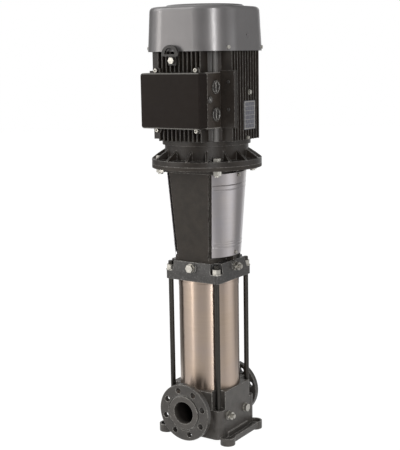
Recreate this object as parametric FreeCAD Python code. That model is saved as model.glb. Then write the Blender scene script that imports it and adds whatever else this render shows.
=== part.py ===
import FreeCAD, Part
import math
import os

from FreeCAD import Vector

# A vertical multistage pump in millimetres: the shaft axis is +Z, the base stands on z = 0,
# the suction flange faces -Y and the discharge flange faces +Y.

UP = Vector(0, 0, 1)
ORIGIN = Vector(0, 0, 0)

# Ports
port_bore_radius = 36.0
port_axis_height = 105.0
port_face_reach = 160.0
port_lip = 1.0
neck_radius = 54.5
neck_root_radius = 62.0
flange_radius = 92.5
flange_thickness = 18.0
flange_setback = 3.0
flange_bolt_circle = 72.5
flange_bolt_count = 8
flange_hole_radius = 9.5
flange_recess_depth = 8.0
flange_recess_radius = 58.5
flange_hang_angle = 6.5
retaining_ring_thickness = 4.5
retaining_groove_radius = 52.0
loose_clearance = 0.3

# Base casting
foot_hole_x = 120.0
foot_hole_y = 85.0
foot_hole_radius = 7.0
foot_radius = 24.0
rail_outer_x = 138.0
rail_lip = 4.0
rail_lip_half = 60.0
rail_rib_half = 24.0
rail_top = 25.0
rail_floor = 12.0
rail_underside = 6.0
rail_wall = 6.0
base_half_x = 105.0
base_half_y = 103.0
base_corner_radius = 20.0
base_foot_half_y = 112.0
base_flare_top = 62.0
skirt_bottom = 16.0
corner_boss_height = 110.0
corner_boss_radius = 19.0
pocket_radius = 21.0
well_radius = 40.0
well_floor = 66.0
well_seat_height = 150.0
sleeve_groove_depth = 11.0
annulus_inner_radius = 52.0
annulus_outer_radius = 90.0
annulus_floor_drop = 4.0
riser_floor = 66.0
riser_half_angle = 34.0
sleeve_seat_rise = 7.0
underside_wall = 8.0
underside_roof = 60.0

# Staybolts
staybolt_offset = 87.75
staybolt_radius = 8.0
staybolt_engagement = 30.0
staybolt_end_above_nut = 12.0
washer_radius = 15.0
washer_thickness = 3.0
nut_across_flats = 24.0
nut_height = 14.8

# Stage stack
stage_count = 5
stage_pitch = 70.0
inlet_height = 20.0
chamber_radius = 78.0
chamber_wall = 2.0
chamber_top_plate = 4.0
guide_floor = 38.0
guide_plate = 2.0
guide_vane_count = 8
impeller_radius = 62.0
impeller_eye_radius = 36.0
impeller_vane_count = 6
impeller_bottom = 8.0
impeller_height = 26.0
shroud_thickness = 2.0
neck_ring_clearance = 0.3
hub_radius = 18.0
hub_bottom = 4.0
spacer_radius = 15.0
bush_radius = 20.0
bush_height = 8.0
running_clearance = 0.05
strap_thickness = 2.5
strap_width = 16.0

# Outer sleeve and pump head
sleeve_radius = 97.85
sleeve_wall = 2.0
sleeve_clearance = 0.3
seal_ring_radius = 1.0
head_gap = 4.6
head_half = 101.5
head_corner_radius = 14.0
head_band_height = 27.5
head_height = 60.4
head_top_half = 95.0
head_notch_radius = 20.0
head_sleeve_depth = 10.0
head_cavity_radius = 90.0
head_cavity_top = 26.0
head_throat_radius = 60.0
head_throat_top = 41.0

# Plugs and valves
plug_height_on_head = 42.4
plug_across_flats = 24.0
plug_collar_radius = 14.5
plug_thread_radius = 10.5
plug_boss_radius = 17.0
plug_thread_length = 6.0
valve_bore_radius = 5.0
valve_bore_depth = 14.0
valve_body_height = 13.0
nozzle_radius = 4.5
nozzle_length = 22.0
# Place along Y and height of the two fittings on the base's right side
drain_place = (-58.0, 86.0)
plain_place = (45.0, 81.0)
base_plug_places = (drain_place, plain_place)

# Shaft seal
pump_shaft_radius = 11.0
seal_carrier_radius = 34.0
seal_carrier_flange_radius = 48.0
seal_carrier_flange = 8.0
seal_seat_radius = 24.0
seal_seat_height = 8.0
seal_face_gap = 0.05
carrier_screw_radius = 3.0
carrier_screw_depth = 12.0

# Motor stool, guards and coupling
stool_height = 310.0
stool_plate = 16.0
stool_bottom_half_x = 67.0
stool_bottom_half_y = 87.0
stool_top_setback_x = 90.0
stool_top_setback_y = 68.5
stool_wall = 8.0
stool_return = 20.0
stool_edge_step = 10.0
stool_edge_depth = 8.0
stool_flange = 12.0
stool_pad_height = 14.0
stool_bore_radius = 94.0
stool_bolt_radius = 6.0
stool_bolt_depth = 14.0
stool_bolt_x = 44.0
stool_bolt_y = 61.0
guard_bulge = 34.0
guard_sheet = 1.2
guard_bottom_gap = 2.0
guard_top_gap = 14.3
bead_height = 4.0
bead_rise = 1.2
guard_screw_radius = 3.0
guard_rest = 0.2
guard_lug_half = 9.0
curved_seat_gap = 0.5
coupling_radius = 42.0
coupling_length = 135.0
coupling_bottom_below_shaft = 55.0
coupling_split = 2.0
coupling_pin_radius = 2.5
coupling_screw_radius = 5.0
coupling_screw_x = 31.0

# Motor
motor_flange_radius = 175.0
motor_flange_thickness = 16.0
motor_bolt_setback = 25.0
motor_spigot_radius = 125.0
motor_spigot_height = 5.0
motor_neck_clearance = 17.0
motor_neck_height = 61.0
shield_ring_half = 134.0
shield_ring_corner = 118.0
shield_ring_height = 15.0
frame_core_radius = 135.0
saddle_half_x = 157.0
saddle_front = 83.0
saddle_back = 70.0
saddle_rise = 5.0
frame_bore_radius = 120.0
frame_height = 272.0
fin_tip = 147.0
fin_thickness = 4.0
fin_pitch = 15.5
fins_each_side = 11
corner_rod_offset = 99.0
corner_rod_radius = 8.5
motor_shaft_radius = 21.0
motor_shaft_length = 110.0
rotor_radius = 85.0
air_gap = 0.6
core_length = 180.0
core_bottom_above_frame = 39.0
winding_height = 32.0
winding_shoulder = 28.0
winding_clearance = 5.0
winding_taper = 3.0
fan_above_frame = 48.0
motor_bolt_head = 10.0

# Drive-end shield
shield_neck_wall = 17.0
shield_floor = 12.0
shield_rib_half = 3.5
shield_rib_setback = 2.0
shield_rib_shoulder = 23.0
shield_rib_height = 30.0
shield_rib_angle = 12.0

# Motor bearings: bore, inner ring, outer ring's bore, outer radius and height
front_bearing = (22.5, 30.0, 42.0, 50.0, 25.0)
rear_bearing = (20.0, 27.0, 38.0, 45.0, 23.0)
bearing_ball_count = 8
bearing_track_depth = 1.5

# Lifting brackets
bracket_x = -17.0
bracket_boss_radius = 14.0
bracket_seat = 149.0
bracket_plate = 8.0
bracket_ring_y = 162.0
bracket_ring_radius = 30.0
bracket_eye_radius = 19.0
bracket_ring_rise = 17.0
bracket_bolt_radius = 6.0
bracket_bolt_depth = 18.0

# Rear end shield and cooling fan
rear_shield_height = 19.0
rear_lug_length = 46.0
fan_hub_height = 34.0
fan_radius = 122.0
fan_blade_height = 32.0
fan_blade_count = 8

# Fan cover
cover_half = 155.0
cover_corner = 95.0
cover_top_half = 149.5
cover_sheet = 2.0
cover_height = 135.0
cover_edge_radius = 14.0
cover_disc_rise = 6.0
cover_disc_radius = 118.0
cover_disc_slope = 8.0
cover_recess_radius = 9.5
cover_recess_depth = 0.8
cover_recess_height = 48.0
grille_rings = 6
grille_inner_radius = 34.0
grille_pitch = 15.0
grille_slot = 8.0
grille_spokes = 6
cover_screw_places = ((147.0, 98.0), (-147.0, 98.0), (-147.0, -98.0), (147.0, -98.0))

# Terminal box
box_half_x = 108.0
box_bottom_above_face = 118.0
box_height = 167.0
box_back = 84.0
box_front = 156.5
box_wall = 6.0
lid_front = 199.0
lid_wall = 4.0
lid_edge_radius = 9.0
lug_offset_x = 73.0
lug_radius = 8.0
lug_rise = 7.0
lug_depth = 9.0
lid_lug_depth = 6.0
entry_offset_y = 112.0
entry_radius = 17.0
entry_head_radius = 20.5

# Heights and reaches that follow from the dimensions above
annulus_floor = well_seat_height - annulus_floor_drop
sleeve_seat_height = well_seat_height + sleeve_seat_rise
stack_bottom = well_seat_height + inlet_height
stack_top = stack_bottom + stage_count * stage_pitch
head_bottom = stack_top + head_gap
head_floor = head_bottom + head_band_height
head_top = head_bottom + head_height
motor_face = head_top + stool_height
motor_bolt_circle = motor_flange_radius - motor_bolt_setback
motor_neck_radius = motor_bolt_circle - motor_neck_clearance
shield_cavity_radius = motor_neck_radius - shield_neck_wall
stool_top_half_x = motor_flange_radius - stool_top_setback_x
stool_top_half_y = motor_flange_radius - stool_top_setback_y
shield_rib_reach = motor_flange_radius - shield_rib_setback
shield_rib_knee = motor_neck_radius + shield_rib_shoulder
shield_ring_bottom = motor_face + motor_neck_height
frame_bottom = shield_ring_bottom + shield_ring_height
frame_top = frame_bottom + frame_height
cover_top = frame_top + cover_height
core_bottom = frame_bottom + core_bottom_above_frame
core_top = core_bottom + core_length
motor_shaft_bottom = motor_face - motor_shaft_length
box_bottom = motor_face + box_bottom_above_face
box_top = box_bottom + box_height
lift_height = frame_top - 27.0
flange_front = port_face_reach - flange_setback
flange_back = flange_front - flange_thickness
recess_floor = flange_front - flange_recess_depth
ring_back = recess_floor + loose_clearance
ring_front = ring_back + retaining_ring_thickness
sleeve_bottom = sleeve_seat_height + 2 * seal_ring_radius
base_rim_height = sleeve_seat_height + sleeve_groove_depth
head_seat = head_bottom + head_sleeve_depth
sleeve_top = head_seat - 2 * seal_ring_radius
ring_centre_radius = sleeve_radius - sleeve_wall / 2.0
seal_seat_bottom = head_bottom + head_throat_top
seal_face_top = seal_seat_bottom - seal_face_gap
seal_face_bottom = seal_face_top - 7.0
seal_spring_bottom = seal_face_bottom - 14.0
seal_collar_bottom = seal_spring_bottom - 6.0
guard_bottom = head_top + stool_plate + guard_bottom_gap
guard_top = motor_face - stool_flange - guard_top_gap
guard_screw_low = guard_bottom + 9.0
guard_screw_high = guard_top - 8.0
coupling_bottom = motor_shaft_bottom - coupling_bottom_below_shaft
coupling_top = coupling_bottom + coupling_length
coupling_pin_height = coupling_bottom + 14.0
coupling_screw_heights = (coupling_bottom + 34.0, coupling_top - 28.0)
pump_shaft_top = motor_shaft_bottom - 3.0
pump_shaft_bottom = well_seat_height - 10.0
front_bearing_height = motor_face + 18.0
rear_bearing_height = frame_top - 3.0
bearing_places = ((front_bearing_height, front_bearing), (rear_bearing_height, rear_bearing))
board_front = frame_core_radius + box_wall + 14.0
cover_screw_height = frame_top + 11.0
fan_bottom = frame_top + fan_above_frame
winding_inner_radius = rotor_radius + winding_clearance
winding_outer_radius = frame_bore_radius - winding_clearance
vent_base = Vector(head_half, 0, head_bottom + plug_height_on_head)
drain_base = Vector(base_half_x, drain_place[0], drain_place[1])


def vertical_cylinder(radius, z_from, z_to, x=0.0, y=0.0):
    return Part.makeCylinder(radius, z_to - z_from, Vector(x, y, z_from))


def vertical_tube(outer, inner, z_from, z_to, x=0.0, y=0.0):
    wall = vertical_cylinder(outer, z_from, z_to, x, y)
    return wall.cut(vertical_cylinder(inner, z_from, z_to, x, y))


def box_between(low, high):
    size = Vector(*high) - Vector(*low)
    return Part.makeBox(size.x, size.y, size.z, Vector(*low))


def placed(shape, base, direction):
    """Carry a shape built along +Z at the origin to a base point and direction."""
    moved = shape.copy()
    moved.Placement = FreeCAD.Placement(base, FreeCAD.Rotation(UP, direction))
    return moved


def turned(shape, angle, centre=ORIGIN, axis=UP):
    moved = shape.copy()
    moved.rotate(centre, axis, angle)
    return moved


def around_axis(shape, count, first=0.0):
    return [turned(shape, first + 360.0 * k / count) for k in range(count)]


def fused(shapes):
    whole = shapes[0]
    if len(shapes) > 1:
        whole = whole.fuse(shapes[1:])
    return whole.removeSplitter()


def rounded_wire(half_x, half_y, corner, z):
    """Rectangle with round corners, always started at the same corner so that lofts match."""
    edges = []
    bend = corner * math.cos(math.radians(45))
    for sx, sy in ((1, 1), (-1, 1), (-1, -1), (1, -1)):
        cx = sx * (half_x - corner)
        cy = sy * (half_y - corner)
        on_side = Vector(cx + sx * corner, cy, z)
        on_end = Vector(cx, cy + sy * corner, z)
        middle = Vector(cx + sx * bend, cy + sy * bend, z)
        if sx * sy > 0:
            edges.append((on_side, middle, on_end))
        else:
            edges.append((on_end, middle, on_side))
    outline = []
    for k, (start, middle, end) in enumerate(edges):
        outline.append(Part.Arc(start, middle, end).toShape())
        outline.append(Part.makeLine(end, edges[(k + 1) % 4][0]))
    return Part.Wire(outline)


def rounded_block(half_x, half_y, corner, z_from, z_to):
    face = Part.Face(rounded_wire(half_x, half_y, corner, z_from))
    return face.extrude(Vector(0, 0, z_to - z_from))


def polygon_face(points):
    corners = [Vector(*p) for p in points]
    return Part.Face(Part.makePolygon(corners + [corners[0]]))


def revolved(profile, angle=360.0):
    """Turn a closed outline of (radius, height) points about the shaft axis."""
    face = polygon_face([(r, 0.0, z) for r, z in profile])
    return face.revolve(ORIGIN, UP, angle)


def hexagon(across_flats, height):
    corner = across_flats / math.sqrt(3.0)
    points = [
        (corner * math.cos(math.radians(60 * k)), corner * math.sin(math.radians(60 * k)), 0.0)
        for k in range(6)
    ]
    return polygon_face(points).extrude(Vector(0, 0, height))


def hex_screw(across_flats, head_height, shank_radius, shank_length):
    """Head above z = 0 and shank below it."""
    shank = Part.makeCylinder(shank_radius, shank_length, Vector(0, 0, -shank_length))
    return hexagon(across_flats, head_height).fuse(shank).removeSplitter()


def socket_screw(head_radius, head_height, shank_radius, shank_length):
    head = Part.makeCylinder(head_radius, head_height)
    head = head.cut(placed(hexagon(head_radius, head_height), Vector(0, 0, head_height / 2), UP))
    shank = Part.makeCylinder(shank_radius, shank_length, Vector(0, 0, -shank_length))
    return head.fuse(shank).removeSplitter()


def curved_blade(inner_radius, outer_radius, sweep, thickness, z_from, z_to):
    """A blade of even thickness on one arc, from the inner to the outer radius."""
    path = []
    for share in (0.0, 0.5, 1.0):
        radius = inner_radius + (outer_radius - inner_radius) * share
        angle = math.radians(sweep * share)
        path.append(Vector(radius * math.cos(angle), radius * math.sin(angle), z_from))
    circle = Part.Arc(*path).toShape().Curve
    near = 1.0 - thickness / 2.0 / circle.Radius
    far = 1.0 + thickness / 2.0 / circle.Radius
    inside = [circle.Center + (p - circle.Center) * near for p in path]
    outside = [circle.Center + (p - circle.Center) * far for p in path]
    outline = Part.Wire(
        [
            Part.Arc(*inside).toShape(),
            Part.makeLine(inside[2], outside[2]),
            Part.Arc(outside[2], outside[1], outside[0]).toShape(),
            Part.makeLine(outside[0], inside[0]),
        ]
    )
    return Part.Face(outline).extrude(Vector(0, 0, z_to - z_from))


def at_port(shape, side):
    """Shapes for a port are built along +Z from the shaft axis, then laid along the port."""
    return placed(shape, Vector(0, 0, port_axis_height), Vector(0, side, 0))


def port_neck():
    neck = vertical_cylinder(neck_radius, base_half_y - underside_wall, port_face_reach)
    root_end = flange_back - 8.0
    root = Part.makeCone(
        neck_root_radius, neck_radius, root_end - base_half_y, Vector(0, 0, base_half_y)
    )
    groove = vertical_tube(neck_radius, retaining_groove_radius, ring_back, ring_front)
    return neck.fuse(root).cut(groove)


def port_mouth():
    """The bore and the bevel at its mouth."""
    bore = vertical_cylinder(port_bore_radius, 0.0, port_face_reach)
    lip = Part.makeCone(
        port_bore_radius,
        port_bore_radius + port_lip,
        port_lip,
        Vector(0, 0, port_face_reach - port_lip),
    )
    return bore, lip


def foot_rail(side):
    """A channel between two feet: the foundation bolts stand in its rounded ends."""
    reach = rail_outer_x - foot_hole_x
    bodies = []
    for end in (-1, 1):
        bodies.append(
            vertical_cylinder(foot_radius, 0.0, rail_top, foot_hole_x, end * foot_hole_y)
        )
    inner = base_half_x - underside_wall
    bodies.append(
        box_between((inner, -foot_hole_y, rail_underside), (rail_outer_x, foot_hole_y, rail_top))
    )
    rail = fused(bodies)
    hollow_radius = foot_radius - rail_wall
    hollows = []
    for end in (-1, 1):
        hollows.append(
            vertical_cylinder(hollow_radius, rail_floor, rail_top, foot_hole_x, end * foot_hole_y)
        )
        rail = rail.cut(
            vertical_cylinder(foot_hole_radius, 0.0, rail_floor, foot_hole_x, end * foot_hole_y)
        )
    hollow_far = foot_hole_x + reach - rail_wall
    hollows.append(
        box_between((base_half_x, -foot_hole_y, rail_floor), (hollow_far, foot_hole_y, rail_top))
    )
    rail = rail.cut(fused(hollows))
    rib_x = foot_hole_x - 2.0
    rib = box_between(
        (rib_x, -rail_rib_half, rail_floor - 1.0), (rib_x + 4.0, rail_rib_half, rail_floor + 5.0)
    )
    lip = box_between(
        (base_half_x - 1.0, -rail_lip_half, rail_floor),
        (base_half_x + rail_lip, rail_lip_half, rail_top + rail_lip),
    )
    rail = rail.fuse([rib, lip])
    return turned(rail, 0.0 if side > 0 else 180.0)


def make_base():
    lower = rounded_block(
        base_half_x, base_half_y, base_corner_radius, skirt_bottom, corner_boss_height
    )
    flare = Part.makeLoft(
        [
            rounded_wire(base_half_x, base_foot_half_y, base_corner_radius, skirt_bottom),
            rounded_wire(base_half_x, base_half_y, base_corner_radius, base_flare_top),
        ],
        True,
        True,
    )
    drum = rounded_block(
        base_half_x, base_half_x, base_corner_radius, corner_boss_height, base_rim_height
    )
    towers = []
    for sx in (-1, 1):
        for sy in (-1, 1):
            drum = drum.cut(
                vertical_cylinder(
                    pocket_radius,
                    corner_boss_height,
                    base_rim_height,
                    sx * staybolt_offset,
                    sy * staybolt_offset,
                )
            )
            towers.append(
                vertical_cylinder(
                    corner_boss_radius,
                    skirt_bottom,
                    corner_boss_height,
                    sx * staybolt_offset,
                    sy * staybolt_offset,
                )
            )
    body = fused([lower, flare, drum] + towers)
    necks = [at_port(port_neck(), -1), at_port(port_neck(), 1)]
    body = fused([body] + necks)

    under = rounded_block(
        base_half_x - underside_wall,
        base_half_y - underside_wall,
        base_corner_radius - underside_wall,
        skirt_bottom,
        underside_roof,
    )
    body = body.cut(under)
    body = fused([body, foot_rail(1), foot_rail(-1)])

    bore, lip = port_mouth()
    body = body.cut([at_port(bore, -1), at_port(lip, -1), at_port(lip, 1)])
    body = body.cut(vertical_cylinder(well_radius, well_floor, base_rim_height))
    discharge = vertical_cylinder(port_bore_radius, 0.8 * annulus_outer_radius, port_face_reach)
    body = body.cut(at_port(discharge, 1))
    body = body.cut(
        vertical_tube(annulus_outer_radius, annulus_inner_radius, annulus_floor, base_rim_height)
    )
    riser = revolved(
        [
            (annulus_inner_radius, riser_floor),
            (annulus_outer_radius, riser_floor),
            (annulus_outer_radius, annulus_floor),
            (annulus_inner_radius, annulus_floor),
        ],
        2 * riser_half_angle,
    )
    body = body.cut(turned(riser, 90.0 - riser_half_angle))
    body = body.cut(
        vertical_tube(annulus_inner_radius, well_radius, well_seat_height, base_rim_height)
    )
    body = body.cut(
        vertical_tube(
            sleeve_radius + sleeve_clearance,
            annulus_outer_radius,
            sleeve_seat_height,
            base_rim_height,
        )
    )
    for sx in (-1, 1):
        for sy in (-1, 1):
            body = body.cut(
                vertical_cylinder(
                    staybolt_radius,
                    corner_boss_height - staybolt_engagement,
                    corner_boss_height,
                    sx * staybolt_offset,
                    sy * staybolt_offset,
                )
            )
    for y, z in base_plug_places:
        body = body.cut(
            Part.makeCylinder(
                plug_thread_radius, plug_thread_length, Vector(base_half_x, y, z), Vector(-1, 0, 0)
            )
        )
    return body.removeSplitter()


def make_port_flange(side, hang_angle):
    """A loose flange that turns on the neck behind its retaining ring."""
    plate = vertical_cylinder(flange_radius, flange_back, flange_front)
    edges = [e for e in plate.Edges if abs(e.Length - 2 * math.pi * flange_radius) < 0.01]
    plate = plate.makeChamfer(1.5, edges)
    plate = plate.cut(
        vertical_cylinder(neck_radius + loose_clearance, flange_back, flange_front)
    )
    plate = plate.cut(vertical_cylinder(flange_recess_radius, recess_floor, flange_front))
    hole = vertical_cylinder(flange_hole_radius, flange_back, flange_front, flange_bolt_circle)
    step = 360.0 / flange_bolt_count
    plate = plate.cut(around_axis(hole, flange_bolt_count, step / 2 + hang_angle))
    return at_port(plate, side)


def make_retaining_rings():
    ring = vertical_tube(
        flange_recess_radius - 0.8, retaining_groove_radius, ring_back, ring_front
    )
    gap = box_between(
        (-3.0, -flange_recess_radius, ring_back), (3.0, -retaining_groove_radius + 5.0, ring_front)
    )
    ring = ring.cut(gap)
    return Part.makeCompound([at_port(ring, -1), at_port(ring, 1)])


def make_outer_sleeve():
    sleeve = vertical_tube(sleeve_radius, sleeve_radius - sleeve_wall, sleeve_bottom, sleeve_top)
    band_top = head_bottom - 8.0
    band = vertical_tube(sleeve_radius + 0.8, sleeve_radius - 0.5, band_top - 16.0, band_top)
    return sleeve.fuse(band).removeSplitter()


def make_sleeve_seals():
    rings = []
    for height in (sleeve_seat_height + seal_ring_radius, head_seat - seal_ring_radius):
        rings.append(Part.makeTorus(ring_centre_radius, seal_ring_radius, Vector(0, 0, height)))
    return Part.makeCompound(rings)


def make_head():
    band = rounded_block(head_half, head_half, head_corner_radius, head_bottom, head_floor)
    upper = Part.makeLoft(
        [
            rounded_wire(head_half, head_half, head_corner_radius, head_floor),
            rounded_wire(head_top_half, head_top_half, head_corner_radius, head_top),
        ],
        True,
        True,
    )
    notches = []
    for sx in (-1, 1):
        for sy in (-1, 1):
            x = sx * staybolt_offset
            y = sy * staybolt_offset
            notches.append(vertical_cylinder(head_notch_radius, head_floor, head_top, x, y))
    upper = upper.cut(notches)
    head = fused([band, upper])
    plug_z = head_bottom + plug_height_on_head
    for direction in (Vector(0, -1, 0), Vector(1, 0, 0)):
        boss_start = Vector(0, 0, plug_z) + direction * (head_top_half - 10.0)
        boss = Part.makeCylinder(
            plug_boss_radius, head_half - head_top_half + 10.0, boss_start, direction
        )
        head = head.fuse(boss)
        thread_start = Vector(0, 0, plug_z) + direction * (head_half - plug_thread_length)
        head = head.cut(
            Part.makeCylinder(plug_thread_radius, plug_thread_length, thread_start, direction)
        )
    head = head.cut(
        vertical_cylinder(sleeve_radius + sleeve_clearance, head_bottom, head_seat)
    )
    head = head.cut(vertical_cylinder(head_cavity_radius, head_bottom, head_bottom + head_cavity_top))
    head = head.cut(vertical_cylinder(head_throat_radius, head_bottom, head_bottom + head_throat_top))
    head = head.cut(
        vertical_cylinder(seal_carrier_radius + 0.1, head_bottom + head_throat_top, head_top)
    )
    for sx in (-1, 1):
        for sy in (-1, 1):
            head = head.cut(
                vertical_cylinder(
                    staybolt_radius + 1.0,
                    head_bottom,
                    head_floor,
                    sx * staybolt_offset,
                    sy * staybolt_offset,
                )
            )
            head = head.cut(
                vertical_cylinder(
                    stool_bolt_radius,
                    head_top - stool_bolt_depth,
                    head_top,
                    sx * stool_bolt_x,
                    sy * stool_bolt_y,
                )
            )
    for x, y in carrier_screw_places():
        head = head.cut(
            vertical_cylinder(carrier_screw_radius, head_top - carrier_screw_depth, head_top, x, y)
        )
    return head.removeSplitter()


def carrier_screw_places():
    circle = (seal_carrier_radius + seal_carrier_flange_radius) / 2.0
    places = []
    for k in range(4):
        angle = math.radians(90.0 * k)
        places.append((circle * math.cos(angle), circle * math.sin(angle)))
    return places


def at_corners(shape):
    copies = []
    for sx in (-1, 1):
        for sy in (-1, 1):
            copy = shape.copy()
            copy.translate(Vector(sx * staybolt_offset, sy * staybolt_offset, 0))
            copies.append(copy)
    return Part.makeCompound(copies)


def make_staybolts():
    bottom = corner_boss_height - staybolt_engagement
    top = head_floor + washer_thickness + nut_height + staybolt_end_above_nut
    bolt = vertical_cylinder(staybolt_radius, bottom, top)
    rim = [e for e in bolt.Edges if len(e.Vertexes) == 1 and e.BoundBox.ZMin > top - 0.1]
    return at_corners(bolt.makeChamfer(1.5, rim))


def make_staybolt_washers():
    ring = vertical_tube(washer_radius, staybolt_radius + 0.3, head_floor, head_floor + washer_thickness)
    return at_corners(ring)


def make_hex_nuts():
    """The same nut clamps the staybolts on the head and the bolts under the motor flange."""
    nut = hexagon(nut_across_flats, nut_height)
    nut = nut.cut(vertical_cylinder(staybolt_radius, 0.0, nut_height))
    above_head = placed(nut, Vector(0, 0, head_floor + washer_thickness), UP)
    below_flange = placed(
        nut, Vector(motor_bolt_circle, 0, motor_face - stool_flange - nut_height), UP
    )
    return Part.makeCompound([at_corners(above_head)] + around_axis(below_flange, 4, 45.0))


def make_inlet_part():
    """The cone that carries water from the base well into the first impeller."""
    eye = impeller_eye_radius + neck_ring_clearance
    return revolved(
        [
            (well_radius + 1.0, well_seat_height),
            (annulus_inner_radius - 1.0, well_seat_height),
            (annulus_inner_radius - 1.0, well_seat_height + 6.0),
            (chamber_radius, stack_bottom - 5.0),
            (chamber_radius, stack_bottom),
            (eye, stack_bottom),
            (eye, stack_bottom - 4.0),
            (well_radius + 1.0, stack_bottom - 9.0),
        ]
    )


def make_chamber(index):
    """A cup with a top plate, and guide vanes that carry a plate above the impeller."""
    bottom = stack_bottom + index * stage_pitch
    top = bottom + stage_pitch
    eye = impeller_eye_radius + neck_ring_clearance
    floor = bottom + guide_floor
    shell = vertical_tube(chamber_radius, chamber_radius - chamber_wall, bottom, top)
    plate = vertical_tube(chamber_radius, eye, top - chamber_top_plate, top)
    guide = vertical_tube(impeller_radius + 4.0, bush_radius, floor, floor + guide_plate)
    vane = curved_blade(
        bush_radius + 8.0,
        chamber_radius - chamber_wall - 4.0,
        40.0,
        1.6,
        floor + guide_plate,
        top - chamber_top_plate,
    )
    return fused([shell, plate, guide] + around_axis(vane, guide_vane_count))


def make_bearing_bushes():
    bushes = []
    for index in range(stage_count):
        middle = stack_bottom + index * stage_pitch + guide_floor + guide_plate / 2.0
        bushes.append(
            vertical_tube(
                bush_radius,
                spacer_radius + running_clearance,
                middle - guide_plate / 2.0,
                middle + bush_height,
            )
        )
    return Part.makeCompound(bushes)


def make_impeller(index):
    """Two shrouds with backward-curved vanes between them, and an eye that faces down."""
    start = stack_bottom + index * stage_pitch
    low = start + impeller_bottom
    high = low + impeller_height
    hub = vertical_tube(hub_radius, pump_shaft_radius, start + hub_bottom, high)
    back = vertical_tube(impeller_radius, hub_radius - 1.0, high - shroud_thickness, high)
    eye = vertical_tube(
        impeller_eye_radius, impeller_eye_radius - 3.0, start - chamber_top_plate, low
    )
    front = vertical_tube(impeller_radius, impeller_eye_radius - 3.0, low, low + shroud_thickness)
    vane = curved_blade(
        hub_radius - 0.5,
        impeller_radius - 0.5,
        -95.0,
        2.0,
        low + shroud_thickness,
        high - shroud_thickness,
    )
    return fused([hub, back, eye, front] + around_axis(vane, impeller_vane_count))


def make_shaft_spacers():
    """Sleeves between the impeller hubs; the bushes run on them."""
    spacers = []
    for index in range(stage_count):
        start = stack_bottom + index * stage_pitch
        low = start + impeller_bottom + impeller_height
        high = start + stage_pitch + hub_bottom
        if index == stage_count - 1:
            high = seal_collar_bottom
        spacers.append(vertical_tube(spacer_radius, pump_shaft_radius, low, high))
    return Part.makeCompound(spacers)


def make_stack_straps():
    inner = chamber_radius
    outer = chamber_radius + strap_thickness
    half = strap_width / 2.0
    bar = box_between((inner - 1.0, -half, stack_bottom - 5.0), (outer, half, stack_top))
    bar = bar.cut(vertical_cylinder(inner, stack_bottom - 5.0, stack_top))
    hook = box_between((inner - 4.0, -half, stack_top), (outer, half, stack_top + strap_thickness))
    return Part.makeCompound(around_axis(fused([bar, hook]), 4, 45.0))


def make_top_guide():
    """The ring that presses on the stack; water leaves it through eight windows."""
    top = head_bottom + head_cavity_top
    ring = vertical_tube(chamber_radius - 6.0, head_throat_radius, stack_top, top)
    window = Part.makeCylinder(
        7.0, chamber_radius, Vector(0, 0, (stack_top + top) / 2.0), Vector(1, 0, 0)
    )
    return ring.cut(around_axis(window, 8))


def make_seal_carrier():
    body = vertical_cylinder(seal_carrier_radius, seal_seat_bottom, head_top)
    flange = vertical_cylinder(
        seal_carrier_flange_radius, head_top, head_top + seal_carrier_flange
    )
    carrier = fused([body, flange])
    carrier = carrier.cut(
        vertical_cylinder(
            pump_shaft_radius + 3.0, seal_seat_bottom, head_top + seal_carrier_flange
        )
    )
    carrier = carrier.cut(
        vertical_cylinder(
            seal_seat_radius, seal_seat_bottom, seal_seat_bottom + seal_seat_height
        )
    )
    for x, y in carrier_screw_places():
        carrier = carrier.cut(
            vertical_cylinder(
                carrier_screw_radius, head_top, head_top + seal_carrier_flange, x, y
            )
        )
    return carrier


def make_seal_carrier_screws():
    screw = socket_screw(5.0, 6.0, carrier_screw_radius, seal_carrier_flange + carrier_screw_depth)
    places = carrier_screw_places()
    height = head_top + seal_carrier_flange
    return [placed(screw, Vector(x, y, height), UP) for x, y in places]


def make_seal_seat():
    return vertical_tube(
        seal_seat_radius,
        pump_shaft_radius + 1.5,
        seal_seat_bottom,
        seal_seat_bottom + seal_seat_height,
    )


def make_seal_face():
    return vertical_tube(
        seal_seat_radius - 3.0, pump_shaft_radius, seal_face_bottom, seal_face_top
    )


def make_seal_spring():
    """The wave spring of the seal as a stack of plain rings, with its collar."""
    collar = vertical_tube(hub_radius, pump_shaft_radius, seal_collar_bottom, seal_spring_bottom)
    turns = [collar]
    pitch = (seal_face_bottom - seal_spring_bottom) / 4.0
    for k in range(4):
        low = seal_spring_bottom + k * pitch
        turns.append(vertical_tube(16.0, 13.0, low, low + pitch / 2.0))
        turns.append(vertical_tube(15.0, 14.0, low + pitch / 2.0, low + pitch))
    return fused(turns)


def stool_half(height):
    """Half width across X and half depth across Y of the stool at a height."""
    share = (height - head_top) / (motor_face - head_top)
    half_x = stool_bottom_half_x + (stool_top_half_x - stool_bottom_half_x) * share
    half_y = stool_bottom_half_y + (stool_top_half_y - stool_bottom_half_y) * share
    return half_x, half_y


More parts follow.
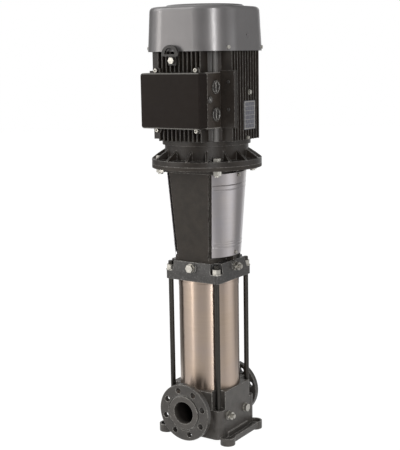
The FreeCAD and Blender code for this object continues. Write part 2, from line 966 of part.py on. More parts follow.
def stool_wall_wire(height):
    """Outline of one wall: a broad face with a step and a return at each edge."""
    half_x, half_y = stool_half(height)
    face_x = half_x - stool_edge_step
    points = [
        (-face_x, -half_y, height),
        (face_x, -half_y, height),
        (face_x, -half_y + stool_edge_depth, height),
        (half_x, -half_y + stool_edge_depth, height),
        (half_x, -half_y + stool_return, height),
        (half_x - stool_wall, -half_y + stool_return, height),
        (half_x - stool_wall, -half_y + stool_edge_depth + stool_wall, height),
        (face_x - stool_wall, -half_y + stool_edge_depth + stool_wall, height),
        (face_x - stool_wall, -half_y + stool_wall, height),
        (-face_x + stool_wall, -half_y + stool_wall, height),
        (-face_x + stool_wall, -half_y + stool_edge_depth + stool_wall, height),
        (-half_x + stool_wall, -half_y + stool_edge_depth + stool_wall, height),
        (-half_x + stool_wall, -half_y + stool_return, height),
        (-half_x, -half_y + stool_return, height),
        (-half_x, -half_y + stool_edge_depth, height),
        (-face_x, -half_y + stool_edge_depth, height),
    ]
    corners = [Vector(*p) for p in points]
    return Part.makePolygon(corners + [corners[0]])


def guard_arc(height, offset):
    """Three points of the guard's arc at a height; the ends rest on the stool's returns."""
    half_x, half_y = stool_half(height)
    end_y = half_y - 3.0
    return [
        Vector(half_x + offset, -end_y, height),
        Vector(half_x + guard_bulge + offset, 0.0, height),
        Vector(half_x + offset, end_y, height),
    ]


def guard_wire(height, inner, outer):
    near = guard_arc(height, inner)
    far = guard_arc(height, outer)
    return Part.Wire(
        [
            Part.Arc(*near).toShape(),
            Part.makeLine(near[2], far[2]),
            Part.Arc(far[2], far[1], far[0]).toShape(),
            Part.makeLine(far[0], near[0]),
        ]
    )


def guard_lug(low, high, height):
    """A lug of the stool behind a guard screw."""
    half_x = stool_half(height)[0]
    return box_between(
        (stool_bottom_half_x - 12.0, -guard_lug_half, low),
        (half_x + guard_bulge - 0.6, guard_lug_half, high),
    )


def make_stool():
    plate = rounded_block(
        stool_bottom_half_x + 6.0, stool_bottom_half_y, 10.0, head_top, head_top + stool_plate
    )
    flange_bottom = motor_face - stool_flange
    wall = Part.makeLoft(
        [stool_wall_wire(head_top + 1.0), stool_wall_wire(flange_bottom + 1.0)], True, True
    )
    flange = vertical_cylinder(motor_flange_radius, flange_bottom, motor_face)
    half_x, half_y = stool_half(flange_bottom)
    pad = rounded_block(
        half_x + 20.0, half_y, 30.0, flange_bottom - stool_pad_height, flange_bottom + 1.0
    )
    stool = fused([plate, wall, turned(wall, 180.0), flange, pad])
    lugs = []
    low_lug = guard_lug(head_top + 1.0, guard_screw_low + 7.0, guard_bottom)
    high_lug = guard_lug(guard_screw_high - 7.0, flange_bottom + 1.0, guard_screw_high - 7.0)
    for lug in (low_lug, high_lug):
        lugs.append(lug)
        lugs.append(turned(lug, 180.0))
    stool = fused([stool] + lugs)
    cuts = [
        vertical_cylinder(stool_bore_radius, guard_screw_high - 60.0, motor_face),
        vertical_cylinder(
            motor_spigot_radius + 0.1, motor_face - motor_spigot_height, motor_face
        ),
        vertical_cylinder(seal_carrier_flange_radius + 3.0, head_top, head_top + 60.0),
    ]
    hole_angle = 45.0
    bolt_hole = vertical_cylinder(
        staybolt_radius + 1.0, flange_bottom - stool_pad_height, motor_face, motor_bolt_circle
    )
    cuts += around_axis(bolt_hole, 4, hole_angle)
    for sx in (-1, 1):
        for height in (guard_screw_low, guard_screw_high):
            cuts.append(guard_screw_hole(sx, height))
        for sy in (-1, 1):
            cuts.append(
                vertical_cylinder(
                    stool_bolt_radius,
                    head_top,
                    head_top + stool_plate,
                    sx * stool_bolt_x,
                    sy * stool_bolt_y,
                )
            )
    return stool.cut(cuts).removeSplitter()


def guard_screw_seat(height):
    return stool_half(height)[0] + guard_bulge + guard_sheet


def guard_screw_hole(side, height):
    seat = guard_screw_seat(height)
    return Part.makeCylinder(
        guard_screw_radius, 12.0, Vector(side * (seat + 1.0), 0, height), Vector(-side, 0, 0)
    )


def make_guard(side):
    sheet = Part.makeLoft(
        [
            guard_wire(guard_bottom, guard_rest, guard_sheet),
            guard_wire(guard_top, guard_rest, guard_sheet),
        ],
        True,
        True,
    )
    length = guard_top - guard_bottom
    beads = []
    for share in (0.115, 0.155, 0.81, 0.86):
        middle = guard_bottom + share * length
        beads.append(
            Part.makeLoft(
                [
                    guard_wire(middle - bead_height / 2.0, guard_rest + 0.5, guard_sheet),
                    guard_wire(middle, guard_rest + 0.5, guard_sheet + bead_rise),
                    guard_wire(middle + bead_height / 2.0, guard_rest + 0.5, guard_sheet),
                ],
                True,
                True,
            )
        )
    guard = fused([sheet] + beads)
    for height in (guard_screw_low, guard_screw_high):
        guard = guard.cut(guard_screw_hole(1, height))
    return turned(guard, 0.0 if side > 0 else 180.0)


def make_guard_screws():
    screws = []
    for side in (-1, 1):
        for height in (guard_screw_low, guard_screw_high):
            seat = guard_screw_seat(height) + curved_seat_gap
            screw = socket_screw(5.5, 4.0, guard_screw_radius, 10.0)
            screws.append(placed(screw, Vector(side * seat, 0, height), Vector(side, 0, 0)))
    return screws


def make_stool_bolts():
    bolt = hex_screw(19.0, 8.0, stool_bolt_radius, stool_plate + stool_bolt_depth)
    bolts = []
    for sx in (-1, 1):
        for sy in (-1, 1):
            base = Vector(sx * stool_bolt_x, sy * stool_bolt_y, head_top + stool_plate)
            bolts.append(placed(bolt, base, UP))
    return bolts


def make_coupling_half(side):
    """One half of the split coupling that clamps both shafts."""
    body = vertical_cylinder(coupling_radius, coupling_bottom, coupling_top)
    keep = box_between(
        (-coupling_radius, coupling_split / 2.0, coupling_bottom),
        (coupling_radius, coupling_radius, coupling_top),
    )
    body = body.common(keep)
    body = body.cut(
        [
            vertical_cylinder(pump_shaft_radius, coupling_bottom, pump_shaft_top + 1.0),
            vertical_cylinder(motor_shaft_radius, pump_shaft_top + 1.0, coupling_top),
            Part.makeCylinder(
                coupling_pin_radius,
                2 * 22.0,
                Vector(-22.0, 0, coupling_pin_height),
                Vector(1, 0, 0),
            ),
        ]
    )
    flat = coupling_radius - 14.0
    for height in coupling_screw_heights:
        for sx in (-1, 1):
            x = sx * coupling_screw_x
            body = body.cut(
                Part.makeCylinder(
                    coupling_screw_radius, coupling_radius, Vector(x, 0, height), Vector(0, 1, 0)
                )
            )
            body = body.cut(
                Part.makeCylinder(
                    9.0, coupling_radius, Vector(x, flat - 8.0, height), Vector(0, 1, 0)
                )
            )
    return turned(body, 0.0 if side > 0 else 180.0)


def make_coupling_screws():
    """Four clamp screws with their heads in the pockets of one half."""
    seat = coupling_radius - 22.0
    screw = socket_screw(8.0, 10.0, coupling_screw_radius, 2 * seat)
    screws = []
    for height in coupling_screw_heights:
        for sx in (-1, 1):
            base = Vector(sx * coupling_screw_x, -seat, height)
            screws.append(placed(screw, base, Vector(0, -1, 0)))
    return Part.makeCompound(screws)


def make_coupling_pin():
    return Part.makeCylinder(
        coupling_pin_radius, 2 * 20.0, Vector(-20.0, 0, coupling_pin_height), Vector(1, 0, 0)
    )


def make_pump_shaft():
    shaft = vertical_cylinder(pump_shaft_radius, pump_shaft_bottom, pump_shaft_top)
    pin_hole = Part.makeCylinder(
        coupling_pin_radius, 60.0, Vector(-30.0, 0, coupling_pin_height), Vector(1, 0, 0)
    )
    return shaft.cut(pin_hole)


# Deep-groove bearings: bore radius, ring radii, outer radius and width


def bearing_ball_size(sizes):
    """Pitch radius and ball radius that just fit between the two tracks."""
    inner, outer = sizes[1], sizes[2]
    pitch = (inner + outer) / 2.0
    return pitch, (outer - inner) / 2.0 + bearing_track_depth - running_clearance


def bearing_track(height, sizes):
    pitch, ball = bearing_ball_size(sizes)
    middle = height + sizes[4] / 2.0
    return Part.makeTorus(pitch, ball + running_clearance, Vector(0, 0, middle))


def make_bearing_outer_rings():
    rings = []
    for height, sizes in bearing_places:
        ring = vertical_tube(sizes[3], sizes[2], height, height + sizes[4])
        rings.append(ring.cut(bearing_track(height, sizes)))
    return Part.makeCompound(rings)


def make_bearing_inner_rings():
    rings = []
    for height, sizes in bearing_places:
        ring = vertical_tube(sizes[1], sizes[0], height, height + sizes[4])
        rings.append(ring.cut(bearing_track(height, sizes)))
    return rings


def make_bearing_balls():
    balls = []
    for height, sizes in bearing_places:
        pitch, ball = bearing_ball_size(sizes)
        middle = height + sizes[4] / 2.0
        sphere = Part.makeSphere(ball, Vector(pitch, 0, middle))
        balls += around_axis(sphere, bearing_ball_count)
    return balls


def make_motor_shaft():
    steps = [
        (motor_shaft_radius, motor_shaft_bottom, motor_face + 8.0),
        (front_bearing[0], motor_face + 8.0, front_bearing_height + front_bearing[4]),
        (28.0, front_bearing_height + front_bearing[4], rear_bearing_height),
        (rear_bearing[0], rear_bearing_height, fan_bottom + fan_hub_height),
    ]
    return fused([vertical_cylinder(r, low, high) for r, low, high in steps])


def make_rotor_core():
    core = vertical_cylinder(rotor_radius, core_bottom, core_top)
    low_ring = vertical_tube(rotor_radius - 5.0, 52.0, core_bottom - 16.0, core_bottom)
    high_ring = vertical_tube(rotor_radius - 5.0, 52.0, core_top, core_top + 16.0)
    core = fused([core, low_ring, high_ring])
    return core.cut(vertical_cylinder(28.0, core_bottom, core_top))


def make_stator_core():
    return vertical_tube(frame_bore_radius, rotor_radius + air_gap, core_bottom, core_top)


def make_stator_windings():
    """The bundled end turns above and below the stator core."""
    inner_tip = winding_inner_radius + winding_taper
    outer_tip = winding_outer_radius - winding_taper
    profile_low = [
        (inner_tip, core_bottom - winding_height),
        (outer_tip, core_bottom - winding_shoulder),
        (winding_outer_radius, core_bottom),
        (winding_inner_radius, core_bottom),
    ]
    profile_high = [
        (winding_inner_radius, core_top),
        (winding_outer_radius, core_top),
        (outer_tip, core_top + winding_shoulder),
        (inner_tip, core_top + winding_height),
    ]
    return Part.makeCompound([revolved(profile_low), revolved(profile_high)])


def make_drive_end_shield():
    """Motor flange, neck with ribs on both sides of each bolt and the bearing seat."""
    flange_top = motor_face + motor_flange_thickness
    flange = vertical_cylinder(motor_flange_radius, motor_face, flange_top)
    neck = vertical_cylinder(motor_neck_radius, flange_top - 1.0, shield_ring_bottom + 1.0)
    ring = rounded_block(
        shield_ring_half,
        shield_ring_half,
        shield_ring_corner,
        shield_ring_bottom,
        frame_bottom,
    )
    rib_outline = polygon_face(
        [
            (motor_neck_radius - 3.0, -shield_rib_half, flange_top - 1.0),
            (shield_rib_reach, -shield_rib_half, flange_top - 1.0),
            (shield_rib_reach, -shield_rib_half, flange_top + 2.0),
            (shield_rib_knee, -shield_rib_half, flange_top + shield_rib_height / 2.0),
            (motor_neck_radius, -shield_rib_half, flange_top + shield_rib_height),
            (motor_neck_radius - 3.0, -shield_rib_half, flange_top + shield_rib_height),
        ]
    )
    rib = rib_outline.extrude(Vector(0, 2 * shield_rib_half, 0))
    ribs = around_axis(rib, 8, shield_rib_angle) + around_axis(rib, 8, -shield_rib_angle)
    spigot = vertical_cylinder(
        motor_spigot_radius, motor_face - motor_spigot_height, motor_face + 1.0
    )
    shield = fused([flange, neck, ring, spigot] + ribs)
    hub_radius_outer = front_bearing[3] + 12.0
    cavity = vertical_tube(
        shield_cavity_radius, hub_radius_outer, motor_face + shield_floor, frame_bottom
    )
    hub_top = front_bearing_height + front_bearing[4]
    cuts = [
        cavity,
        vertical_cylinder(hub_radius_outer, hub_top, frame_bottom),
        vertical_cylinder(front_bearing[3], front_bearing_height, hub_top),
        vertical_cylinder(front_bearing[0] + 2.0, motor_face - motor_spigot_height, hub_top),
        vertical_cylinder(
            motor_spigot_radius - 22.0, motor_face - motor_spigot_height, motor_face
        ),
    ]
    bolt_hole = vertical_cylinder(
        staybolt_radius + 1.0, motor_face, flange_top, motor_bolt_circle
    )
    cuts += around_axis(bolt_hole, 4, 45.0)
    return shield.cut(cuts).removeSplitter()


def make_motor_flange_bolts():
    grip = motor_flange_thickness + stool_flange
    bolt = hex_screw(24.0, motor_bolt_head, staybolt_radius, grip + nut_height + 5.0)
    height = motor_face + motor_flange_thickness
    bolt = placed(bolt, Vector(motor_bolt_circle, 0, height), UP)
    return Part.makeCompound(around_axis(bolt, 4, 45.0))


def box_envelope(back=box_back):
    return box_between((-box_half_x, -box_front, box_bottom), (box_half_x, -back, box_top))


def lug_places():
    places = []
    for sx in (-1, 1):
        places.append((sx * lug_offset_x, box_top + lug_rise))
        places.append((sx * lug_offset_x, box_bottom - lug_rise))
    return places


def lug(x, z, y_from, y_to):
    """A rounded ear that stands out above or below the terminal box."""
    towards = -1 if z > (box_top + box_bottom) / 2.0 else 1
    round_end = Part.makeCylinder(lug_radius, y_to - y_from, Vector(x, y_from, z), Vector(0, 1, 0))
    low = min(z, z + towards * (lug_rise + 1.0))
    high = max(z, z + towards * (lug_rise + 1.0))
    stem = box_between((x - lug_radius, y_from, low), (x + lug_radius, y_to, high))
    return round_end.fuse(stem)


def make_motor_frame():
    """The finned housing: four sides of cooling fins on a round core."""
    core = vertical_cylinder(frame_core_radius, frame_bottom, frame_top)
    fins = []
    first = -(fins_each_side - 1) / 2.0 * fin_pitch
    for k in range(fins_each_side):
        middle = first + k * fin_pitch
        root = math.sqrt(frame_core_radius**2 - (abs(middle) + fin_thickness) ** 2) - 2.0
        fin = box_between(
            (root, middle - fin_thickness / 2.0, frame_bottom),
            (fin_tip, middle + fin_thickness / 2.0, frame_top),
        )
        fins += around_axis(fin, 4)
    rod = vertical_cylinder(
        corner_rod_radius, frame_bottom, frame_top, corner_rod_offset, corner_rod_offset
    )
    bosses = []
    for side in (-1, 1):
        start = Vector(-side * bracket_x, side * (frame_core_radius - 10.0), lift_height)
        bosses.append(
            Part.makeCylinder(
                bracket_boss_radius,
                bracket_seat - frame_core_radius + 10.0,
                start,
                Vector(0, side, 0),
            )
        )
    low = box_bottom - 1.0
    high = box_top + saddle_rise
    saddle = box_between((-saddle_half_x, -saddle_front, low), (saddle_half_x, -saddle_back, high))
    frame = core.fuse(fins + around_axis(rod, 4) + bosses + [saddle])
    frame = frame.cut(vertical_cylinder(frame_bore_radius, frame_bottom, frame_top))
    seat = box_envelope(saddle_front).cut(
        vertical_cylinder(frame_core_radius, box_bottom, box_top)
    )
    frame = frame.cut(seat)
    window = Part.makeCylinder(
        24.0, 40.0, Vector(0, -frame_core_radius - 5.0, (box_bottom + box_top) / 2.0), Vector(0, 1, 0)
    )
    frame = frame.cut(window)
    for side in (-1, 1):
        start = Vector(-side * bracket_x, side * bracket_seat, lift_height)
        frame = frame.cut(
            Part.makeCylinder(bracket_bolt_radius, bracket_bolt_depth, start, Vector(0, -side, 0))
        )
    return frame.removeSplitter()


def make_lifting_brackets():
    """A bolted tab that steps outward past the fan cover and ends in an eye."""
    tab = box_between(
        (-bracket_boss_radius, -bracket_seat - bracket_plate, -bracket_boss_radius),
        (bracket_boss_radius, -bracket_seat, bracket_ring_rise + 1.0),
    )
    step = box_between(
        (-bracket_boss_radius, -bracket_ring_y - bracket_plate, bracket_ring_rise - 4.0),
        (bracket_boss_radius, -bracket_seat, bracket_ring_rise + 2.0),
    )
    start = Vector(0, -bracket_ring_y - bracket_plate, bracket_ring_rise)
    disc = Part.makeCylinder(bracket_ring_radius, bracket_plate, start, Vector(0, 1, 0))
    disc = disc.cut(
        box_between(
            (-bracket_ring_radius, -bracket_ring_y - bracket_plate, -bracket_ring_radius),
            (bracket_ring_radius, -bracket_ring_y, bracket_ring_rise - 4.0),
        )
    )
    eye_start = start + Vector(0, -1.0, 2.0)
    eye = Part.makeCylinder(bracket_eye_radius, bracket_plate + 2.0, eye_start, Vector(0, 1, 0))
    eye = eye.common(
        box_between(
            (-bracket_ring_radius, -bracket_ring_y - 20.0, bracket_ring_rise + 2.0),
            (bracket_ring_radius, -bracket_ring_y + 20.0, 3 * bracket_ring_radius),
        )
    )
    bracket = fused([tab, step, disc]).cut(eye)
    bracket = bracket.cut(
        Part.makeCylinder(
            bracket_bolt_radius,
            bracket_plate,
            Vector(0, -bracket_seat - bracket_plate, 0),
            Vector(0, 1, 0),
        )
    )
    bracket.translate(Vector(bracket_x, 0, lift_height))
    return Part.makeCompound([bracket, turned(bracket, 180.0)])


def make_lifting_bolts():
    bolt = hex_screw(19.0, 8.0, bracket_bolt_radius, bracket_plate + bracket_bolt_depth)
    base = Vector(bracket_x, -bracket_seat - bracket_plate, lift_height)
    bolt = placed(bolt, base, Vector(0, -1, 0))
    return [bolt, turned(bolt, 180.0)]


def make_terminal_box():
    box = box_envelope()
    inner = box_between(
        (-box_half_x + box_wall, -box_front, box_bottom + box_wall),
        (box_half_x - box_wall, -box_back - box_wall, box_top - box_wall),
    )
    inner = inner.cut(
        vertical_cylinder(frame_core_radius + box_wall, box_bottom, box_top)
    )
    box = box.cut(inner)
    lugs = [lug(x, z, -box_front, -box_front + lug_depth) for x, z in lug_places()]
    box = fused([box] + lugs)
    cuts = [vertical_cylinder(frame_core_radius, box_bottom - 40.0, box_top + 40.0)]
    middle = (box_bottom + box_top) / 2.0
    cuts.append(
        Part.makeCylinder(24.0, 40.0, Vector(0, -frame_core_radius - 15.0, middle), Vector(0, 1, 0))
    )
    for y, z, radius, _head in entry_places():
        cuts.append(
            Part.makeCylinder(radius, box_wall, Vector(box_half_x, -y, z), Vector(-1, 0, 0))
        )
    for x, z in lug_places():
        cuts.append(
            Part.makeCylinder(3.0, lug_depth, Vector(x, -box_front, z), Vector(0, 1, 0))
        )
    return box.cut(cuts).removeSplitter()


def entry_places():
    """Distance in front of the shaft, height, thread radius and head radius of each entry."""
    middle = (box_bottom + box_top) / 2.0
    return (
        (entry_offset_y, middle + 40.0, entry_radius, entry_head_radius),
        (entry_offset_y, middle - 42.0, entry_radius, entry_head_radius),
        (entry_offset_y + 33.0, middle + 3.0, 8.0, 10.0),
    )


def make_cable_entry_plugs():
    """Blind plugs in the cable entries: a round head with a raised bar across it."""
    plugs = []
    for y, z, radius, head in entry_places():
        disc = Part.makeCylinder(head, 5.0)
        dish = Part.makeCylinder(head - 4.0, 2.0, Vector(0, 0, 3.0))
        bar = box_between((-head + 5.0, -2.0, 2.0), (head - 5.0, 2.0, 5.0))
        shank = Part.makeCylinder(radius, box_wall - 1.5, Vector(0, 0, 1.5 - box_wall))
        plug = fused([disc.cut(dish), bar, shank])
        plugs.append(placed(plug, Vector(box_half_x, -y, z), Vector(1, 0, 0)))
    return Part.makeCompound(plugs)


def lid_block(inset, y_front):
    half_z = box_height / 2.0 - inset
    face = rounded_block(
        box_half_x - inset, half_z, lid_edge_radius - inset, box_front, y_front
    )
    middle = (box_bottom + box_top) / 2.0
    block = face.copy()
    block.rotate(ORIGIN, Vector(1, 0, 0), 90.0)
    block.translate(Vector(0, 0, middle))
    return block


def make_terminal_lid():
    lid = lid_block(0.0, lid_front)
    rim = [e for e in lid.Edges if e.BoundBox.YMax < -lid_front + 0.1]
    lid = lid.makeFillet(4.0, rim)
    lid = lid.cut(lid_block(lid_wall, lid_front - lid_wall))
    lugs = [lug(x, z, -box_front - lid_lug_depth, -box_front) for x, z in lug_places()]
    lid = fused([lid] + lugs)
    cavity = lid_block(lid_wall, lid_front - lid_wall)
    holes = [cavity]
    for x, z in lug_places():
        holes.append(
            Part.makeCylinder(
                3.0, lid_lug_depth, Vector(x, -box_front - lid_lug_depth, z), Vector(0, 1, 0)
            )
        )
    return lid.cut(holes).removeSplitter()


def make_terminal_lid_screws():
    screw = socket_screw(6.0, 6.0, 3.0, lid_lug_depth + lug_depth)
    front = -box_front - lid_lug_depth
    return [placed(screw, Vector(x, front, z), Vector(0, -1, 0)) for x, z in lug_places()]


def make_terminal_board():
    middle = (box_bottom + box_top) / 2.0
    board = box_between(
        (-46.0, -board_front, middle - 36.0), (46.0, -board_front + 10.0, middle + 36.0)
    )
    feet = [
        box_between(
            (x - 6.0, -board_front + 9.0, middle - 34.0),
            (x + 6.0, -frame_core_radius + 16.0, middle + 34.0),
        )
        for x in (-38.0, 38.0)
    ]
    board = fused([board] + feet)
    return board.cut(
        vertical_cylinder(frame_core_radius + box_wall, box_bottom, box_top)
    )


def make_terminal_studs():
    middle = (box_bottom + box_top) / 2.0
    studs = []
    for x in (-26.0, 0.0, 26.0):
        for z in (middle - 16.0, middle + 16.0):
            stud = Part.makeCylinder(3.0, 16.0)
            nut = hexagon(10.0, 5.0)
            studs.append(
                placed(fused([stud, nut]), Vector(x, -board_front, z), Vector(0, -1, 0))
            )
    return Part.makeCompound(studs)


def cover_skin(inset, z_top):
    """The tapered outer form of the fan cover, moved in by an inset."""
    return Part.makeLoft(
        [
            rounded_wire(cover_half - inset, cover_half - inset, cover_corner - inset, frame_top),
            rounded_wire(
                cover_top_half - inset, cover_top_half - inset, cover_corner - inset, z_top
            ),
        ],
        True,
        True,
    )


def cover_screw_seat(x, y):
    """Point on the cover at a screw and the direction straight out of its round corner."""
    share = (cover_screw_height - frame_top) / cover_height
    half = cover_half + (cover_top_half - cover_half) * share
    centre = Vector(math.copysign(half - cover_corner, x), math.copysign(half - cover_corner, y), 0)
    out = Vector(x, y, 0) - centre
    out.normalize()
    seat = centre + out * cover_corner + Vector(0, 0, cover_screw_height)
    return seat, out


def make_rear_shield():
    """Closes the frame under the fan cover, with lugs that carry the cover's screws."""
    disc = vertical_cylinder(frame_core_radius - 2.0, frame_top, frame_top + rear_shield_height)
    lugs = []
    for x, y in cover_screw_places:
        seat, out = cover_screw_seat(x, y)
        start = seat - out * (cover_sheet + curved_seat_gap + 0.2 + rear_lug_length)
        lugs.append(Part.makeCylinder(7.0, rear_lug_length, start, out))
    shield = fused([disc] + lugs)
    cuts = [
        vertical_cylinder(
            rear_bearing[3], rear_bearing_height, rear_bearing_height + rear_bearing[4]
        ),
        vertical_cylinder(rear_bearing[0] + 1.0, frame_top, frame_top + rear_shield_height),
        vertical_tube(
            frame_core_radius - 12.0,
            rear_bearing[3] + 12.0,
            frame_top + 8.0,
            frame_top + rear_shield_height,
        ),
    ]
    for x, y in cover_screw_places:
        cuts.append(cover_screw_bore(x, y))
    shield = shield.cut(cuts)
    cap_low = rear_bearing_height + rear_bearing[4]
    cap = vertical_tube(
        rear_bearing[3] + 12.0, rear_bearing[0] + 1.0, cap_low - 1.0, cap_low + 6.0
    )
    cap = cap.cut(vertical_cylinder(rear_bearing[3], cap_low - 1.0, cap_low))
    sleeve = vertical_tube(
        rear_bearing[3] + 8.0, rear_bearing[3], rear_bearing_height, frame_top + 1.0
    )
    return fused([shield, cap, sleeve])


def cover_screw_bore(x, y):
    seat, out = cover_screw_seat(x, y)
    return Part.makeCylinder(2.5, 14.0, seat + out * 1.0, out * -1.0)


def cover_form(inset):
    """The cover's solid form: tapered sides, a round top edge and a low raised disc."""
    top = cover_top - inset
    skin = cover_skin(inset, top)
    rim = [e for e in skin.Edges if e.BoundBox.ZMin > top - 0.1]
    skin = skin.makeFillet(cover_edge_radius - inset, rim)
    disc = Part.makeCone(
        cover_disc_radius + cover_disc_slope - inset,
        cover_disc_radius - inset,
        cover_disc_rise,
        Vector(0, 0, top),
    )
    return skin.fuse(disc)


def make_fan_cover():
    """A pressed cover: tapered sides, a round top edge and ring slots for the air."""
    cover = cover_form(0.0).cut(cover_form(cover_sheet))
    slots = []
    top = cover_top + cover_disc_rise
    top_from = top - 2 * cover_sheet
    for k in range(grille_rings):
        middle = grille_inner_radius + k * grille_pitch
        ring = vertical_tube(middle + grille_slot / 2.0, middle - grille_slot / 2.0, top_from, top)
        slots.append(ring)
    spoke = box_between((0.0, -4.0, top_from), (cover_half, 4.0, top))
    spokes = around_axis(spoke, grille_spokes)
    slots = [ring.cut(spokes) for ring in slots]
    cuts = slots + [cover_screw_bore(x, y) for x, y in cover_screw_places]
    share = cover_recess_height / cover_height
    recess_x = cover_half + (cover_top_half - cover_half) * share
    for radius, depth in ((cover_recess_radius, cover_recess_depth), (2.5, 12.0)):
        start = Vector(recess_x - depth, 0, frame_top + cover_recess_height)
        cuts.append(Part.makeCylinder(radius, depth + 2.0, start, Vector(1, 0, 0)))
    return cover.cut(cuts).removeSplitter()


def make_fan_cover_screws():
    screws = []
    for x, y in cover_screw_places:
        seat, out = cover_screw_seat(x, y)
        screw = socket_screw(5.5, 3.5, 2.5, 12.0)
        screws.append(placed(screw, seat + out * curved_seat_gap, out))
    return screws


def make_cooling_fan():
    hub = vertical_tube(34.0, rear_bearing[0], fan_bottom, fan_bottom + fan_hub_height)
    plate = vertical_tube(fan_radius - 8.0, 33.0, fan_bottom, fan_bottom + 3.0)
    blade = box_between(
        (46.0, -1.5, fan_bottom + 2.0), (fan_radius, 1.5, fan_bottom + fan_blade_height)
    )
    return fused([hub, plate] + around_axis(blade, fan_blade_count))


def make_hex_plug(head_height):
    """A threaded plug: collar and hexagon out, thread in."""
    collar = Part.makeCylinder(plug_collar_radius, 3.0)
    head = placed(hexagon(plug_across_flats, head_height), Vector(0, 0, 3.0), UP)
    shank = Part.makeCylinder(plug_thread_radius, plug_thread_length, Vector(0, 0, -plug_thread_length))
    return fused([collar, head, shank])


def make_plugs():
    """The two plain plugs: one in the head's front and one in the base's side."""
    plug = make_hex_plug(10.0)
    head_place = Vector(0, -head_half, head_bottom + plug_height_on_head)
    base_place = Vector(base_half_x, plain_place[0], plain_place[1])
    return Part.makeCompound(
        [placed(plug, head_place, Vector(0, -1, 0)), placed(plug, base_place, Vector(1, 0, 0))]
    )


def make_valve_body():
    """A hexagon body with a side nozzle and a bore for its spindle."""
    body = make_hex_plug(valve_body_height)
    nozzle = Part.makeCylinder(
        nozzle_radius, nozzle_length, Vector(0, 0, 3.0 + valve_body_height / 2.0), Vector(0, -1, 0)
    )
    body = body.fuse(nozzle)
    drill = Part.makeCylinder(
        2.0, nozzle_length, Vector(0, 0, 3.0 + valve_body_height / 2.0), Vector(0, -1, 0)
    )
    top = 3.0 + valve_body_height
    bore = Part.makeCylinder(valve_bore_radius, valve_bore_depth, Vector(0, 0, top - valve_bore_depth))
    return body.cut([bore, drill]).removeSplitter()


def make_valve_spindle():
    top = 3.0 + valve_body_height
    radius = valve_bore_radius - running_clearance
    stem = Part.makeCylinder(radius, valve_bore_depth + 3.0, Vector(0, 0, top - valve_bore_depth))
    head = placed(hexagon(13.0, 6.0), Vector(0, 0, top + 3.0), UP)
    return fused([stem, head])


def at_valve(shape, base):
    """Lay a valve piece along +X with its nozzle towards -Y."""
    laid = shape.copy()
    laid.rotate(ORIGIN, Vector(0, 1, 0), 90.0)
    laid.translate(base)
    return laid


def save(name, shape):
    shape.exportStep("parts/" + name + ".step")
    solids = len(shape.Solids)
    print(f"{name:28s} solids {solids:3d} valid {shape.isValid()} volume {shape.Volume:12.0f}")


def build():
    os.makedirs("parts", exist_ok=True)
    save("base", make_base())
    save("suction_flange", make_port_flange(-1, -flange_hang_angle))
    save("discharge_flange", make_port_flange(1, flange_hang_angle))
    save("flange_retaining_rings", make_retaining_rings())
    save("base_and_head_plugs", make_plugs())
    bodies = [at_valve(make_valve_body(), base) for base in (drain_base, vent_base)]
    save("valve_bodies", Part.makeCompound(bodies))
    save("drain_spindle", at_valve(make_valve_spindle(), drain_base))
    save("vent_spindle", at_valve(make_valve_spindle(), vent_base))
    save("inlet_part", make_inlet_part())
    for index in range(stage_count):
        save(f"chamber_{index + 1}", make_chamber(index))
        save(f"impeller_{index + 1}", make_impeller(index))
    save("bearing_bushes", make_bearing_bushes())
    save("shaft_spacers", make_shaft_spacers())
    save("stack_straps", make_stack_straps())
    save("top_guide", make_top_guide())
    save("outer_sleeve", make_outer_sleeve())
    save("sleeve_seals", make_sleeve_seals())
    save("pump_head", make_head())
    save("staybolts", make_staybolts())
    save("staybolt_washers", make_staybolt_washers())
    save("hex_nuts", make_hex_nuts())
    save("seal_carrier", make_seal_carrier())
    save("seal_seat", make_seal_seat())
    save("rotating_seal", Part.makeCompound([make_seal_face(), make_seal_spring()]))
    save("pump_shaft", make_pump_shaft())
    save("motor_stool", make_stool())
    save("guard_right", make_guard(1))
    save("guard_left", make_guard(-1))
    save("coupling_half_rear", make_coupling_half(1))
    save("coupling_half_front", make_coupling_half(-1))
    save("coupling_screws", make_coupling_screws())
    save("coupling_pin", make_coupling_pin())
    save("drive_end_shield", make_drive_end_shield())
    save("motor_flange_bolts", make_motor_flange_bolts())
    save("motor_frame", make_motor_frame())
    save("stator_core", make_stator_core())
    save("stator_windings", make_stator_windings())
    save("motor_shaft", make_motor_shaft())
    save("rotor_core", make_rotor_core())
    save("bearing_outer_rings", make_bearing_outer_rings())
    rings = make_bearing_inner_rings() + make_bearing_balls()
    save("bearing_rings_and_balls", Part.makeCompound(rings))
    save("rear_end_shield", make_rear_shield())
    save("cooling_fan", make_cooling_fan())
    save("fan_cover", make_fan_cover())
    save("lifting_brackets", make_lifting_brackets())
    save("short_hex_bolts", Part.makeCompound(make_stool_bolts() + make_lifting_bolts()))
    save("terminal_box", make_terminal_box())
    save("terminal_lid", make_terminal_lid())
    small = make_guard_screws() + make_fan_cover_screws() + make_terminal_lid_screws()
    save("socket_screws", Part.makeCompound(small + make_seal_carrier_screws()))
    save("terminal_board", make_terminal_board())
    save("terminal_studs", make_terminal_studs())
    save("cable_entry_plugs", make_cable_entry_plugs())


build()
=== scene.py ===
import math

import bmesh
import bpy
from mathutils import Matrix, Vector


